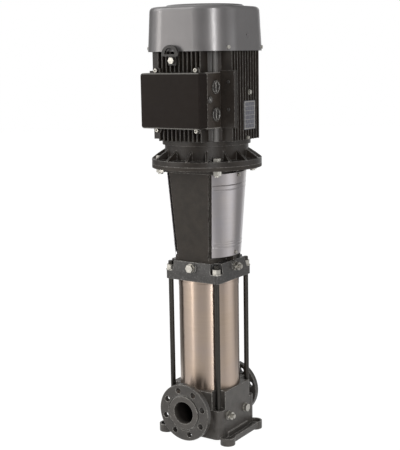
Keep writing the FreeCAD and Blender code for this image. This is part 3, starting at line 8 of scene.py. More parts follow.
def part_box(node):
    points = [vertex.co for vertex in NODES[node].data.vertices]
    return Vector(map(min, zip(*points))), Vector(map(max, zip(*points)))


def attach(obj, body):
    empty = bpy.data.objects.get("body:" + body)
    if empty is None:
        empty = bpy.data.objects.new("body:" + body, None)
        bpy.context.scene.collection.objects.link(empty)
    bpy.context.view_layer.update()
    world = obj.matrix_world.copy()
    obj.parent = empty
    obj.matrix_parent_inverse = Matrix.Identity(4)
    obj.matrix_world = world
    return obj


# Looks of an upright multistage pump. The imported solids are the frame: they keep their shape and get
# their finishes here, and the small trim that is not in the solids is added to them.

bl_info = {
    "name": "Vertical pump looks",
    "version": (1, 0, 0),
    "blender": (4, 5, 0),
    "location": "View3D > Sidebar > Pump",
    "description": "Finishes, small trim and studio for an upright multistage pump",
    "category": "Object",
}

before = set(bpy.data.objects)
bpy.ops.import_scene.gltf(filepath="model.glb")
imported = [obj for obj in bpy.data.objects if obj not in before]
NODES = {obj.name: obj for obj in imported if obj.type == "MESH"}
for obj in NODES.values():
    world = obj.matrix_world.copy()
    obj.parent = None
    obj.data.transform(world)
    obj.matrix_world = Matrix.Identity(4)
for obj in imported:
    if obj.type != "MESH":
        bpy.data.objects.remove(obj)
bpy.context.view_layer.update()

MM = 0.001
LUG_RISE = 15 * MM  # how far the lugs stand past the terminal box and past its lid

# The camera found for the photograph
CAMERA_PLACE = (1.7116, -2.5959, 1.2256)
CAMERA_SHIFT = -0.01756
SENSOR_WIDTH = 36.0

FLOOR_RADIUS = 14.0
PAPER_GLOW, PAPER_GLOW_SHARE = 1.10, 0.90  # the white that keeps the floor as light as the background
FLAG_HEIGHT = 3.2
FLAG_NEAR = 0.7  # where the panels on the floor and overhead end, in front of the pump

# Name, azimuth, distance, height, width, tall, watts, height aimed at, colour
LAMPS = (
    ("lamp_front", 45.0, 3.2, 0.7, 0.26, 1.1, 30, 0.5, (1.0, 1.0, 1.0)),
    ("lamp_high_front", 46.0, 3.2, 2.0, 0.45, 1.5, 64, 0.9, (1.0, 1.0, 1.0)),
    ("lamp_left", -31.0, 3.0, 0.5, 0.28, 0.9, 15, 0.4, (1.0, 0.97, 0.93)),
    ("lamp_high_left", -46.0, 3.0, 1.6, 0.8, 1.3, 35, 0.9, (1.0, 0.98, 0.95)),
    ("lamp_right", 118.0, 3.0, 0.8, 1.1, 1.3, 10, 0.6, (0.92, 0.96, 1.0)),
    ("lamp_top", -60.0, 2.4, 2.8, 1.8, 1.8, 60, 0.9, (1.0, 1.0, 1.0)),
)

# Name, azimuth, distance, width, and the greys of the standing, floor and overhead panels or None
FLAGS = (
    ("flag_left", -104.0, 3.2, 2.0, 0.26, 0.26, None),
    ("flag_middle", 7.0, 3.6, 2.6, 0.48, 0.9, None),
    ("flag_right", 82.0, 3.4, 1.5, 0.5, 0.8, 0.6),
    ("flag_back", 157.0, 3.4, 2.2, 0.48, 0.48, 0.48),
    ("flag_behind", 186.0, 4.5, 3.0, None, None, 0.2),
)


def colour_property(name, description, default):
    return bpy.props.FloatVectorProperty(
        name=name, description=description, default=default, size=3, min=0.0, max=1.0, subtype="COLOR"
    )


def length_property(name, description, default):
    return bpy.props.FloatProperty(
        name=name, description=description, default=default, min=0.0, unit="LENGTH"
    )


def strength_property(name, description, default):
    return bpy.props.FloatProperty(name=name, description=description, default=default, min=0.0, max=5.0)


def angle_property(name, description, degrees):
    return bpy.props.FloatProperty(
        name=name, description=description, default=math.radians(degrees), subtype="ANGLE"
    )


class PumpFinishes(bpy.types.PropertyGroup):
    """Colours of the paints and metals."""

    base_paint: colour_property(
        "Base paint", "Satin paint on the base and the port flanges", (0.062, 0.056, 0.050)
    )
    head_paint: colour_property("Head paint", "Satin paint on the pump head", (0.036, 0.034, 0.032))
    stool_paint: colour_property("Stool paint", "Paint on the motor stool", (0.024, 0.0195, 0.0155))
    motor_paint: colour_property(
        "Motor paint", "Black-brown paint on the motor castings", (0.018, 0.014, 0.011)
    )
    lid_paint: colour_property("Lid paint", "Black-brown paint on the terminal lid", (0.0085, 0.0055, 0.004))
    cover_paint: colour_property(
        "Cover paint", "Metallic grey paint on the fan cover", (0.135, 0.129, 0.129)
    )
    sleeve_steel: colour_property(
        "Sleeve steel", "Warm brushed stainless steel of the sleeve", (0.397, 0.311, 0.243)
    )
    guard_steel: colour_property(
        "Guard steel", "Cooler brushed stainless steel of the guards", (0.36, 0.333, 0.325)
    )
    zinc_plating: colour_property("Zinc plating", "Zinc on screws, nuts and plugs", (0.40, 0.385, 0.35))
    # Painted highlight: a lighter paint on the motor's corner rods stands in for the light they catch
    rod_highlight_paint: colour_property(
        "Rod highlight paint", "Lighter paint on the corner rods of the motor, a painted highlight", (0.11, 0.105, 0.10)
    )
    staybolt_steel: colour_property(
        "Staybolt steel", "Dark treated steel of the staybolts", (0.045, 0.042, 0.038)
    )
    # Bare iron at worn edges, also the lighter colour of painted highlights on edges
    bare_metal_and_edge_highlight: colour_property("Bare metal and edge highlight", "Iron where paint is worn, also lighter edges as painted highlight", (0.44, 0.42, 0.39))


class PumpTrim(bpy.types.PropertyGroup):
    """Sizes of the trim that the solids leave out."""

    plate_width: length_property("Plate width", "Width of the plain nameplate", 65 * MM)
    plate_height: length_property("Plate height", "Height of the plain nameplate", 89 * MM)
    plate_thickness: length_property("Plate thickness", "Thickness of the nameplate's sheet", 0.8 * MM)
    plate_middle_y: length_property(
        "Plate place", "Middle of the nameplate along the motor's side", 21.5 * MM
    )
    plate_middle_z: length_property("Plate level", "Height of the nameplate's middle", 1046.5 * MM)
    fin_reach: length_property("Fin reach", "How far the cooling fins reach from the shaft", 147 * MM)
    rivet_radius: length_property("Rivet radius", "Radius of a rivet's head", 2.2 * MM)
    thread_pitch: length_property("Thread pitch", "Pitch of the threads on the staybolts", 2.0 * MM)


class PumpStudio(bpy.types.PropertyGroup):
    """Floor, lamps and camera."""

    floor_colour: colour_property("Floor colour", "Colour of the plain floor", (0.92, 0.92, 0.92))
    lens: bpy.props.FloatProperty(
        name="Lens", description="Focal length", default=78.16, min=10.0, unit="CAMERA"
    )
    azimuth: angle_property("Azimuth", "Turn of the camera round the pump", 33.40)
    tilt: angle_property("Tilt", "How far the camera looks down", 9.76)
    roll: angle_property("Roll", "Turn of the camera about its view", -0.88)
    ambient: strength_property("Ambient", "Even light from all round", 0.33)
    lamps: strength_property("Lamps", "Strength of all lamps together", 0.6)


# Nodes for materials

FLOAT = "NodeSocketFloat"
VECTOR = "NodeSocketVector"

# Sockets of a Mix node that blends colours
MIX_SHARE, MIX_FIRST, MIX_SECOND, MIX_RESULT = 0, 6, 7, 2

NOISE_LOW, NOISE_HIGH = 0.3, 0.7  # where most of a noise's values lie
NO_EDGE_MARK, FULL_EDGE_MARK = 0.985, 0.86  # how well the softened normal matches the plain one, where the edge mark of wear and painted highlight begins and where it is full
BEAD_LEVELS = (0.125, 0.18, 0.805, 0.86)  # middles of the pressed beads, as shares of the sheet's length


def set_inputs(tree, node, inputs):
    """Give a node's inputs their values, or a link where the value is another node's output."""
    for key, value in inputs.items():
        if isinstance(value, bpy.types.NodeSocket):
            tree.links.new(value, node.inputs[key])
        else:
            node.inputs[key].default_value = value


def add_node(tree, kind, inputs=None, **settings):
    """A node with its settings and inputs."""
    node = tree.nodes.new(kind)
    for key, value in settings.items():
        setattr(node, key, value)
    set_inputs(tree, node, inputs or {})
    return node


def new_tree(name, inputs, outputs, kind="ShaderNodeTree"):
    """A node group, what it is given and its output node. An input's kind follows from its default."""
    tree = bpy.data.node_groups.new(name, kind)
    for socket, default in inputs.items():
        socket_type = {tuple: VECTOR, int: "NodeSocketInt"}.get(type(default), FLOAT)
        made = tree.interface.new_socket(socket, in_out="INPUT", socket_type=socket_type)
        made.default_value = default
    for socket, socket_type in outputs.items():
        tree.interface.new_socket(socket, in_out="OUTPUT", socket_type=socket_type)
    return tree, tree.nodes.new("NodeGroupInput").outputs, tree.nodes.new("NodeGroupOutput")


def object_point(tree):
    """Object coordinates in metres."""
    return add_node(tree, "ShaderNodeTexCoord").outputs["Object"]


def parts_of(tree, vector):
    """A vector's X, Y and Z."""
    return add_node(tree, "ShaderNodeSeparateXYZ", {"Vector": vector}).outputs


def noise(tree, point, scale, detail=3.0, roughness=0.55):
    """Smooth noise between zero and one."""
    inputs = {"Vector": point, "Scale": scale, "Detail": detail, "Roughness": roughness}
    return add_node(tree, "ShaderNodeTexNoise", inputs).outputs["Fac"]


def remapped(tree, value, low, high, to_low=0.0, to_high=1.0):
    """A value carried from one range to another and held inside it."""
    inputs = {"Value": value, "From Min": low, "From Max": high, "To Min": to_low, "To Max": to_high}
    return add_node(tree, "ShaderNodeMapRange", inputs, clamp=True).outputs[0]


def stretched(tree, value, to_low=0.0, to_high=1.0):
    """A noise spread so that its usual values fill a range."""
    return remapped(tree, value, NOISE_LOW, NOISE_HIGH, to_low, to_high)


def arithmetic(tree, operation, first, second=0.0, clamped=False):
    """The result of one operation. Those on a single value leave the second out."""
    inputs = {0: first, 1: second}
    return add_node(tree, "ShaderNodeMath", inputs, operation=operation, use_clamp=clamped).outputs[0]


def vector_math(tree, operation, first, second=(0.0, 0.0, 0.0), result="Vector"):
    """The result of one operation on vectors."""
    inputs = {0: first, 1: second}
    return add_node(tree, "ShaderNodeVectorMath", inputs, operation=operation).outputs[result]


def joint_mask(tree, first, second, amount):
    """The product of two masks and an amount, held between zero and one."""
    both = arithmetic(tree, "MULTIPLY", first, second)
    return arithmetic(tree, "MULTIPLY", both, amount, clamped=True)


def inside_circle(tree, across, up, radius):
    """One where a point's two distances from a middle put it inside a circle."""
    squares = [arithmetic(tree, "MULTIPLY", off, off) for off in (across, up)]
    distance = arithmetic(tree, "SQRT", arithmetic(tree, "ADD", *squares))
    return arithmetic(tree, "LESS_THAN", distance, radius)


def mixed_colour(tree, share, first, second):
    """The first colour with a share of the second. Each is three numbers or another node's output."""
    inputs = {MIX_SHARE: share}
    for key, colour in ((MIX_FIRST, first), (MIX_SECOND, second)):
        inputs[key] = colour if isinstance(colour, bpy.types.NodeSocket) else (*colour[:3], 1.0)
    return add_node(tree, "ShaderNodeMix", inputs, data_type="RGBA").outputs[MIX_RESULT]


def shade(colour, factor, lift=0.0):
    """A colour made darker or lighter, and lifted towards grey."""
    return [min(1.0, factor * channel + lift) for channel in colour]


def cast_skin_group():
    """The grainy skin of a sand casting under paint: a height, a mottle and light specks."""
    tree, given, result = new_tree(
        "cast_skin", {"Grain size": 500.0, "Pits": 0.3}, {"Height": FLOAT, "Mottle": FLOAT, "Specks": FLOAT}
    )
    point = object_point(tree)
    grain = noise(tree, point, given["Grain size"], 4.0, 0.6)
    swell = noise(tree, point, 38.0, 2.0, 0.5)
    cells = add_node(tree, "ShaderNodeTexVoronoi", {"Vector": point, "Scale": 260.0}, feature="F1")
    pits = remapped(tree, cells.outputs["Distance"], 0.05, 0.32)
    height = arithmetic(tree, "ADD", grain, arithmetic(tree, "MULTIPLY", pits, given["Pits"]))
    height = arithmetic(tree, "ADD", height, arithmetic(tree, "MULTIPLY", swell, 0.8))
    specks = remapped(tree, noise(tree, point, 240.0, 3.0, 0.7), 0.54, 0.68)
    set_inputs(tree, result, {"Height": height, "Mottle": stretched(tree, swell), "Specks": specks})
    return tree


def edge_wear_and_highlight_group():
    """Where edges stand out: a mask broken up by noise, for paint worn thin and for a painted highlight on
    edges, and the softened normal.
    """
    tree, given, result = new_tree(
        "edge_wear_and_highlight", {"Edge radius": 1.5 * MM, "Amount": 0.5}, {"Mask": FLOAT, "Normal": VECTOR}
    )
    soft = add_node(tree, "ShaderNodeBevel", {"Radius": given["Edge radius"]}, samples=6).outputs[0]
    plain = add_node(tree, "ShaderNodeNewGeometry").outputs["Normal"]
    edge = remapped(tree, vector_math(tree, "DOT_PRODUCT", soft, plain, "Value"), NO_EDGE_MARK, FULL_EDGE_MARK)
    broken = remapped(tree, noise(tree, object_point(tree), 160.0, 4.0, 0.65), 0.36, 0.60)
    mask = joint_mask(tree, edge, broken, given["Amount"])
    set_inputs(tree, result, {"Mask": mask, "Normal": soft})
    return tree


def corner_rod_highlight_group():
    """A mask of the four round rods at the corners of the motor's housing, where a lighter paint is a
    painted highlight.
    """
    tree, given, result = new_tree("corner_rod_highlight", {"Offset": 99 * MM, "Radius": 12 * MM}, {"Mask": FLOAT})
    place = parts_of(tree, object_point(tree))
    off = []
    for axis in ("X", "Y"):
        side = arithmetic(tree, "ABSOLUTE", place[axis])
        off.append(arithmetic(tree, "SUBTRACT", side, given["Offset"]))
    set_inputs(tree, result, {"Mask": inside_circle(tree, *off, given["Radius"])})
    return tree


def port_bore_shade_group():
    """A mask of painted shade on the unlit insides of the two ports and the well between them."""
    tree, given, result = new_tree(
        "port_bore_shade",
        {"Level": 105 * MM, "Radius": 37 * MM, "Mouth": 156 * MM, "Dark within": 135 * MM},
        {"Mask": FLOAT},
    )
    place = parts_of(tree, object_point(tree))
    rise = arithmetic(tree, "SUBTRACT", place["Z"], given["Level"])
    inside = inside_circle(tree, place["X"], rise, given["Radius"])
    along = arithmetic(tree, "ABSOLUTE", place["Y"])
    deep = remapped(tree, along, given["Mouth"], given["Dark within"])
    set_inputs(tree, result, {"Mask": arithmetic(tree, "MULTIPLY", inside, deep)})
    return tree


def beads_group():
    """Two pairs of pressed beads that run round a sheet, near its top and near its bottom."""
    tree, given, result = new_tree(
        "pressed_beads", {"Low end": 0.62, "Length": 0.2, "Half width": 1.6 * MM}, {"Height": FLOAT}
    )
    place = parts_of(tree, object_point(tree))
    rise = arithmetic(tree, "SUBTRACT", place["Z"], given["Low end"])
    total = 0.0
    for share in BEAD_LEVELS:
        middle = arithmetic(tree, "MULTIPLY", given["Length"], share)
        off = arithmetic(tree, "ABSOLUTE", arithmetic(tree, "SUBTRACT", rise, middle))
        bead = remapped(tree, off, given["Half width"], 0.0)
        total = arithmetic(tree, "ADD", total, bead)
    set_inputs(tree, result, {"Height": total})
    return tree


def box_rim_rub_and_highlight_group():
    """A mask of the level edges of a box-like piece, where its paint is rubbed and a painted highlight is
    laid.
    """
    tree, given, result = new_tree(
        "box_rim_rub_and_highlight",
        {"Centre": (0.0, 0.0, 1.0), "Half size": (0.1, 0.1, 0.1), "Width": 4 * MM},
        {"Mask": FLOAT},
    )
    away = vector_math(tree, "SUBTRACT", object_point(tree), given["Centre"])
    past = vector_math(tree, "SUBTRACT", vector_math(tree, "ABSOLUTE", away), given["Half size"])
    parts = parts_of(tree, past)
    near = []
    for axis in ("X", "Y", "Z"):
        reach = arithmetic(tree, "ADD", parts[axis], given["Width"])
        near.append(arithmetic(tree, "DIVIDE", reach, given["Width"], clamped=True))
    edge = arithmetic(tree, "MULTIPLY", arithmetic(tree, "MAXIMUM", near[0], near[1]), near[2])
    set_inputs(tree, result, {"Mask": remapped(tree, edge, 0.02, 0.22)})
    return tree


def brushed_group():
    """Fine parallel scratches that run round an upright piece: a height, a streak mask and broad clouds."""
    tree, given, result = new_tree(
        "brushed_grain",
        {"Lines": 2600.0, "Length": 14.0},
        {"Height": FLOAT, "Streaks": FLOAT, "Cloud": FLOAT},
    )
    point = object_point(tree)
    length, lines = given["Length"], given["Lines"]
    stretch = add_node(tree, "ShaderNodeCombineXYZ", {"X": length, "Y": length, "Z": lines})
    fine = vector_math(tree, "MULTIPLY", point, stretch.outputs[0])
    wide = vector_math(tree, "MULTIPLY", fine, (1.0, 1.0, 0.12))
    effects = {
        "Height": noise(tree, fine, 1.0, 2.0, 0.5),
        "Streaks": stretched(tree, noise(tree, wide, 1.0, 3.0, 0.5)),
        "Cloud": stretched(tree, noise(tree, point, 11.0, 2.0)),
    }
    set_inputs(tree, result, effects)
    return tree


def dust_and_top_highlight_group():
    """Dust and handling marks, more on faces that look up, also a painted highlight there: upward faces get
    lighter.
    """
    tree, given, result = new_tree("dust_and_top_highlight", {"Amount": 0.3}, {"Mask": FLOAT})
    normal = parts_of(tree, add_node(tree, "ShaderNodeNewGeometry").outputs["Normal"])
    facing = remapped(tree, normal["Z"], 0.1, 1.0, 0.15, 1.0)
    cloud = remapped(tree, noise(tree, object_point(tree), 26.0, 5.0, 0.6), 0.35, 0.75)
    set_inputs(tree, result, {"Mask": joint_mask(tree, facing, cloud, given["Amount"])})
    return tree


GROUPS = {}


def effect(tree, maker, **values):
    """The outputs of one of the shared effects, placed in a material with its own values."""
    if maker not in GROUPS:
        GROUPS[maker] = maker()
    node = tree.nodes.new("ShaderNodeGroup")
    node.node_tree = GROUPS[maker]
    for key, value in values.items():
        node.inputs[key.replace("_", " ")].default_value = value
    return node.outputs


def cleared_tree(owner):
    """The node tree of a material or a world, with nothing in it."""
    owner.use_nodes = True
    owner.node_tree.nodes.clear()
    return owner.node_tree


def blank_material(name):
    """A material and its cleared tree."""
    material = bpy.data.materials.new(name)
    return material, cleared_tree(material)


def shown_by(material, kind, inputs):
    """Show a material by one shader with these inputs."""
    tree = material.node_tree
    shader = add_node(tree, kind, inputs)
    add_node(tree, "ShaderNodeOutputMaterial", {0: shader.outputs[0]})
    return material


def bumped(tree, height, distance, strength, normal=None):
    """A normal, bent by a height."""
    inputs = {"Height": height, "Distance": distance, "Strength": strength}
    if normal is not None:
        inputs["Normal"] = normal
    return add_node(tree, "ShaderNodeBump", inputs).outputs[0]


def bare_metal_and_edge_highlight():
    """The colour of iron where paint is worn through, light enough to also be a painted highlight on edges.
    """
    return bpy.context.scene.pump_finishes.bare_metal_and_edge_highlight


def rubbed_and_highlit_rim(name, colour, width):
    """The lighter mark on the level edges of a box-like solid, rubbed paint and painted highlight, not
    counting the lugs that rise past them.
    """
    low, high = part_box(name)
    half = (high - low) / 2 - Vector((0.0, 0.0, LUG_RISE))
    return box_rim_rub_and_highlight_group, colour, {"Centre": (low + high) / 2, "Half_size": half, "Width": width}


def marked_paint(tree, paint, mark):
    """Paint with a mark on it. A mark is an effect, its colour and the effect's values."""
    if mark is None:
        return paint
    kind, colour, values = mark
    return mixed_colour(tree, effect(tree, kind, **values)["Mask"], paint, colour)


def painted_casting(
    name, colour, roughness, grain, depth, wear_and_highlight,
    edge=1.8 * MM, dust_and_top_highlight=0.25, gloss=0.25, specks=0.15, mark=None,
):
    """Satin paint over a rough casting, worn to bare iron on its edges, which are lighter also as a painted
    highlight.
    """
    material, tree = blank_material(name)
    skin = effect(tree, cast_skin_group, Grain_size=grain)
    edges = effect(tree, edge_wear_and_highlight_group, Edge_radius=edge, Amount=wear_and_highlight)
    dust_and_highlight = effect(tree, dust_and_top_highlight_group, Amount=dust_and_top_highlight)
    paint = mixed_colour(tree, skin["Mottle"], shade(colour, 0.80), shade(colour, 1.22))
    light_grain = arithmetic(tree, "MULTIPLY", skin["Specks"], specks)
    paint = mixed_colour(tree, light_grain, paint, shade(colour, 1.6, 0.10))
    # dust and painted highlight: faces that look up get a lighter colour
    paint = mixed_colour(tree, dust_and_highlight["Mask"], paint, shade(colour, 0.6, 0.05))
    paint = marked_paint(tree, paint, mark)
    inputs = {
        # worn edges and painted highlight: edges get the lighter bare iron colour
        "Base Color": mixed_colour(tree, edges["Mask"], paint, bare_metal_and_edge_highlight()),
        "Roughness": remapped(tree, skin["Height"], 0.6, 1.5, roughness - 0.07, roughness + 0.09),
        "Metallic": arithmetic(tree, "MULTIPLY", edges["Mask"], 0.25),
        "Specular IOR Level": gloss,
        "Normal": bumped(tree, skin["Height"], depth, 0.55, edges["Normal"]),
    }
    return shown_by(material, "ShaderNodeBsdfPrincipled", inputs)


def smooth_paint(name, colour, roughness, wear_and_highlight, edge=1.2 * MM, coat=0.0, gloss=0.3, flake=0.0, mark=None):
    """Even paint on sheet or machined metal, with a faint orange peel. Flake makes it a metallic paint."""
    material, tree = blank_material(name)
    edges = effect(tree, edge_wear_and_highlight_group, Edge_radius=edge, Amount=wear_and_highlight)
    dust_and_highlight = effect(tree, dust_and_top_highlight_group, Amount=0.12)
    point = object_point(tree)
    cloud = stretched(tree, noise(tree, point, 9.0))
    paint = mixed_colour(tree, cloud, shade(colour, 0.93), shade(colour, 1.07))
    # dust and painted highlight: faces that look up get a lighter colour
    paint = mixed_colour(tree, dust_and_highlight["Mask"], paint, shade(colour, 0.8, 0.04))
    # worn edges and painted highlight: edges get the lighter bare iron colour
    paint = mixed_colour(tree, edges["Mask"], paint, bare_metal_and_edge_highlight())
    inputs = {
        "Base Color": marked_paint(tree, paint, mark),
        "Roughness": stretched(tree, noise(tree, point, 60.0), roughness - 0.04, roughness + 0.05),
        "Metallic": flake,
        "Specular IOR Level": gloss,
        "Coat Weight": coat,
        "Coat Roughness": 0.22,
        "Normal": bumped(tree, noise(tree, point, 900.0, 2.0), 0.12 * MM, 0.25, edges["Normal"]),
    }
    return shown_by(material, "ShaderNodeBsdfPrincipled", inputs)


def brushed_steel(name, colour, roughness, lines=2600.0, anisotropy=0.8, beads=None):
    """Stainless steel brushed round its upright axis, so that highlights run up and down."""
    material, tree = blank_material(name)
    grain = effect(tree, brushed_group, Lines=lines)
    edges = effect(tree, edge_wear_and_highlight_group, Edge_radius=0.8 * MM, Amount=0.0)
    tone = mixed_colour(tree, grain["Streaks"], shade(colour, 0.95), shade(colour, 1.05))
    cooler = [min(1.0, factor * channel) for factor, channel in zip((0.94, 0.97, 1.06), colour)]
    skin = bumped(tree, grain["Height"], 0.03 * MM, 0.25, edges["Normal"])
    if beads is not None:
        low_end, length = beads
        pressed = effect(tree, beads_group, Low_end=low_end, Length=length)
        skin = bumped(tree, pressed["Height"], 1.0 * MM, 0.8, skin)
    inputs = {
        "Base Color": mixed_colour(tree, grain["Cloud"], tone, cooler),
        "Metallic": 1.0,
        "Roughness": remapped(tree, grain["Streaks"], 0.0, 1.0, roughness - 0.02, roughness + 0.03),
        "Anisotropic": anisotropy,
        "Tangent": add_node(tree, "ShaderNodeCombineXYZ", {"Z": 1.0}).outputs[0],
        "Normal": skin,
    }
    return shown_by(material, "ShaderNodeBsdfPrincipled", inputs)


def plated_steel(name, colour, roughness, tarnish):
    """Plated or ground steel with patches where the plating has dulled."""
    material, tree = blank_material(name)
    point = object_point(tree)
    edges = effect(tree, edge_wear_and_highlight_group, Edge_radius=0.7 * MM, Amount=0.4)
    dull = remapped(tree, noise(tree, point, 120.0, 4.0, 0.6), 0.40, 0.72, 0.0, tarnish)
    tone = mixed_colour(tree, dull, colour, shade(colour, 0.55))
    inputs = {
        "Base Color": mixed_colour(tree, edges["Mask"], tone, shade(colour, 1.15)),
        "Metallic": 1.0,
        "Roughness": remapped(tree, dull, 0.0, tarnish, roughness, roughness + 0.2),
        "Normal": bumped(tree, noise(tree, point, 1500.0, 2.0), 0.05 * MM, 0.2, edges["Normal"]),
    }
    return shown_by(material, "ShaderNodeBsdfPrincipled", inputs)


def moulded(name, colour, roughness, wear_and_highlight=0.0):
    """Moulded plastic or rubber with a fine spark-eroded grain, and light worn edges that also serve as
    painted highlight.
    """
    material, tree = blank_material(name)
    point = object_point(tree)
    cloud = stretched(tree, noise(tree, point, 70.0))
    tone = mixed_colour(tree, cloud, shade(colour, 0.85), shade(colour, 1.2))
    edges = effect(tree, edge_wear_and_highlight_group, Edge_radius=2.5 * MM, Amount=wear_and_highlight)
    inputs = {
        # worn edges and painted highlight: light rims on the moulded pieces
        "Base Color": mixed_colour(tree, edges["Mask"], tone, (0.45, 0.43, 0.40)),
        "Roughness": stretched(tree, noise(tree, point, 300.0, 2.0), roughness - 0.05, roughness + 0.08),
        "Normal": bumped(tree, noise(tree, point, 1100.0), 0.12 * MM, 0.4, edges["Normal"]),
    }
    return shown_by(material, "ShaderNodeBsdfPrincipled", inputs)


def banded_metal(name, colour, waves, direction, dark, metallic, dull, bright, depth, strength):
    """Metal in layers or turns. Waves are a scale and a distortion, dull and bright are roughnesses."""
    material, tree = blank_material(name)
    scale, distortion = waves
    pattern = {"Vector": object_point(tree), "Scale": scale, "Distortion": distortion, "Detail": 2.0}
    bands = add_node(tree, "ShaderNodeTexWave", pattern, bands_direction=direction).outputs["Fac"]
    inputs = {
        "Base Color": mixed_colour(tree, bands, shade(colour, dark), colour),
        "Metallic": metallic,
        "Roughness": remapped(tree, bands, 0.0, 1.0, dull, bright),
        "Normal": bumped(tree, bands, depth, strength),
    }
    return shown_by(material, "ShaderNodeBsdfPrincipled", inputs)


FINISHES = {}


def dress(material, *names):
    """Give a finish to solids through their material slots."""
    FINISHES[material.name] = material
    for name in names:
        solid = NODES[name]
        if not solid.data.materials:
            solid.data.materials.append(material)
        for slot in solid.material_slots:
            slot.material = material


class PUMP_OT_dress_castings(bpy.types.Operator):
    """Paint the base, the port flanges, the pump head and the stool, and finish the coupling"""

    bl_idname = "pump.dress_castings"
    bl_label = "Dress castings"

    def execute(self, context):
        paints = context.scene.pump_finishes
        # painted shade: the insides of the ports are darkened in the paint
        painted_bore_shade = (port_bore_shade_group, (0.012, 0.010, 0.009), {})
        base = painted_casting(
            "base_paint", paints.base_paint, roughness=0.38, grain=420.0, depth=0.7 * MM, wear_and_highlight=1.0,
            edge=3.6 * MM, gloss=0.36, mark=painted_bore_shade,
        )
        flange = painted_casting(
            "flange_paint", shade(paints.base_paint, 0.7), roughness=0.36, grain=420.0, depth=0.6 * MM,
            wear_and_highlight=1.0, edge=3.6 * MM, gloss=0.38,
        )
        head = painted_casting(
            "head_paint", paints.head_paint, roughness=0.36, grain=300.0, depth=1.4 * MM, wear_and_highlight=1.0,
            edge=3.0 * MM, gloss=0.32, specks=0.55,
        )
        stool = painted_casting(
            "stool_paint", paints.stool_paint, roughness=0.50, grain=520.0, depth=0.6 * MM, wear_and_highlight=0.6,
            edge=2.6 * MM, gloss=0.2, specks=0.06,
        )
        coupling = painted_casting(
            "coupling_iron", (0.20, 0.19, 0.18), roughness=0.42, grain=600.0, depth=0.25 * MM, wear_and_highlight=0.5
        )
        dress(base, "base")
        dress(flange, "suction_flange", "discharge_flange")
        dress(head, "pump_head")
        dress(stool, "motor_stool")
        dress(coupling, "coupling_half_front", "coupling_half_rear")
        return {"FINISHED"}


class PUMP_OT_dress_motor(bpy.types.Operator):
    """Paint the motor's castings, its terminal box, its brackets and the fan cover"""

    bl_idname = "pump.dress_motor"
    bl_label = "Dress motor"

    def execute(self, context):
        paints = context.scene.pump_finishes
        # painted highlight: the corner rods get a lighter paint through the mark
        housing = painted_casting(
            "motor_paint", paints.motor_paint, roughness=0.40, grain=600.0, depth=0.3 * MM, wear_and_highlight=0.4,
            edge=2.0 * MM, dust_and_top_highlight=0.15, specks=0.08, mark=(corner_rod_highlight_group, paints.rod_highlight_paint, {}),
        )
        shield = painted_casting(
            "shield_paint", paints.motor_paint, roughness=0.34, grain=500.0, depth=0.5 * MM, wear_and_highlight=0.8,
            edge=2.0 * MM, dust_and_top_highlight=1.0, gloss=0.2, specks=0.06,
        )
        # rubbed paint and painted highlight: the terminal box's level edges are lighter
        box = painted_casting(
            "box_paint", shade(paints.motor_paint, 1.7), roughness=0.38, grain=700.0, depth=0.2 * MM,
            wear_and_highlight=0.9, edge=3.2 * MM, dust_and_top_highlight=0.3, mark=rubbed_and_highlit_rim("terminal_box", (0.14, 0.13, 0.12), 3 * MM),
        )
        # rubbed paint and painted highlight: the lid's level edges are lighter
        lid_rim_rub_and_highlight = rubbed_and_highlit_rim("terminal_lid", shade(paints.bare_metal_and_edge_highlight, 0.32), 4 * MM)
        lid = smooth_paint("lid_paint", paints.lid_paint, 0.48, wear_and_highlight=0.5, gloss=0.09, mark=lid_rim_rub_and_highlight)
        cover = smooth_paint(
            "cover_paint", paints.cover_paint, 0.33, wear_and_highlight=0.0, edge=1.5 * MM, coat=0.12, gloss=0.5,
            flake=0.55,
        )
        dress(housing, "motor_frame", "rear_end_shield")
        dress(shield, "drive_end_shield")
        dress(box, "terminal_box")
        dress(lid, "terminal_lid")
        dress(smooth_paint("bracket_enamel", (0.020, 0.018, 0.016), 0.30, wear_and_highlight=0.35), "lifting_brackets")
        dress(cover, "fan_cover")
        dress(moulded("plug_plastic", (0.030, 0.027, 0.025), 0.28, wear_and_highlight=1.0), "cable_entry_plugs")
        dress(moulded("fan_plastic", (0.030, 0.030, 0.030), 0.5), "cooling_fan")
        return {"FINISHED"}


class PUMP_OT_dress_steel(bpy.types.Operator):
    """Finish the sleeve, the guards, the staybolts and the bare steel pieces"""

    bl_idname = "pump.dress_steel"
    bl_label = "Dress steel"

    def execute(self, context):
        metals = context.scene.pump_finishes
        dress(brushed_steel("sleeve_steel", metals.sleeve_steel, 0.31), "outer_sleeve")
        low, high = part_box("guard_right")
        beads = (low.z, high.z - low.z)
        guard = brushed_steel("guard_steel", metals.guard_steel, 0.34, lines=2200.0, beads=beads)
        dress(guard, "guard_right", "guard_left")
        stage_names = [f"{kind}_{k}" for kind in ("chamber", "impeller") for k in range(1, 6)]
        dress(
            brushed_steel("stage_steel", (0.62, 0.61, 0.59), 0.32, lines=3000.0, anisotropy=0.4),
            "inlet_part", "shaft_spacers", "stack_straps", "top_guide", "seal_carrier", *stage_names,
        )
        dress(
            plated_steel("shaft_steel", (0.66, 0.65, 0.64), 0.22, tarnish=0.1),
            "pump_shaft", "motor_shaft", "coupling_pin", "bearing_outer_rings", "bearing_rings_and_balls",
        )
        dress(plated_steel("staybolt_steel", metals.staybolt_steel, 0.36, tarnish=0.3), "staybolts")
        dress(plated_steel("ring_steel", (0.22, 0.215, 0.205), 0.4, tarnish=0.4), "flange_retaining_rings")
        return {"FINISHED"}


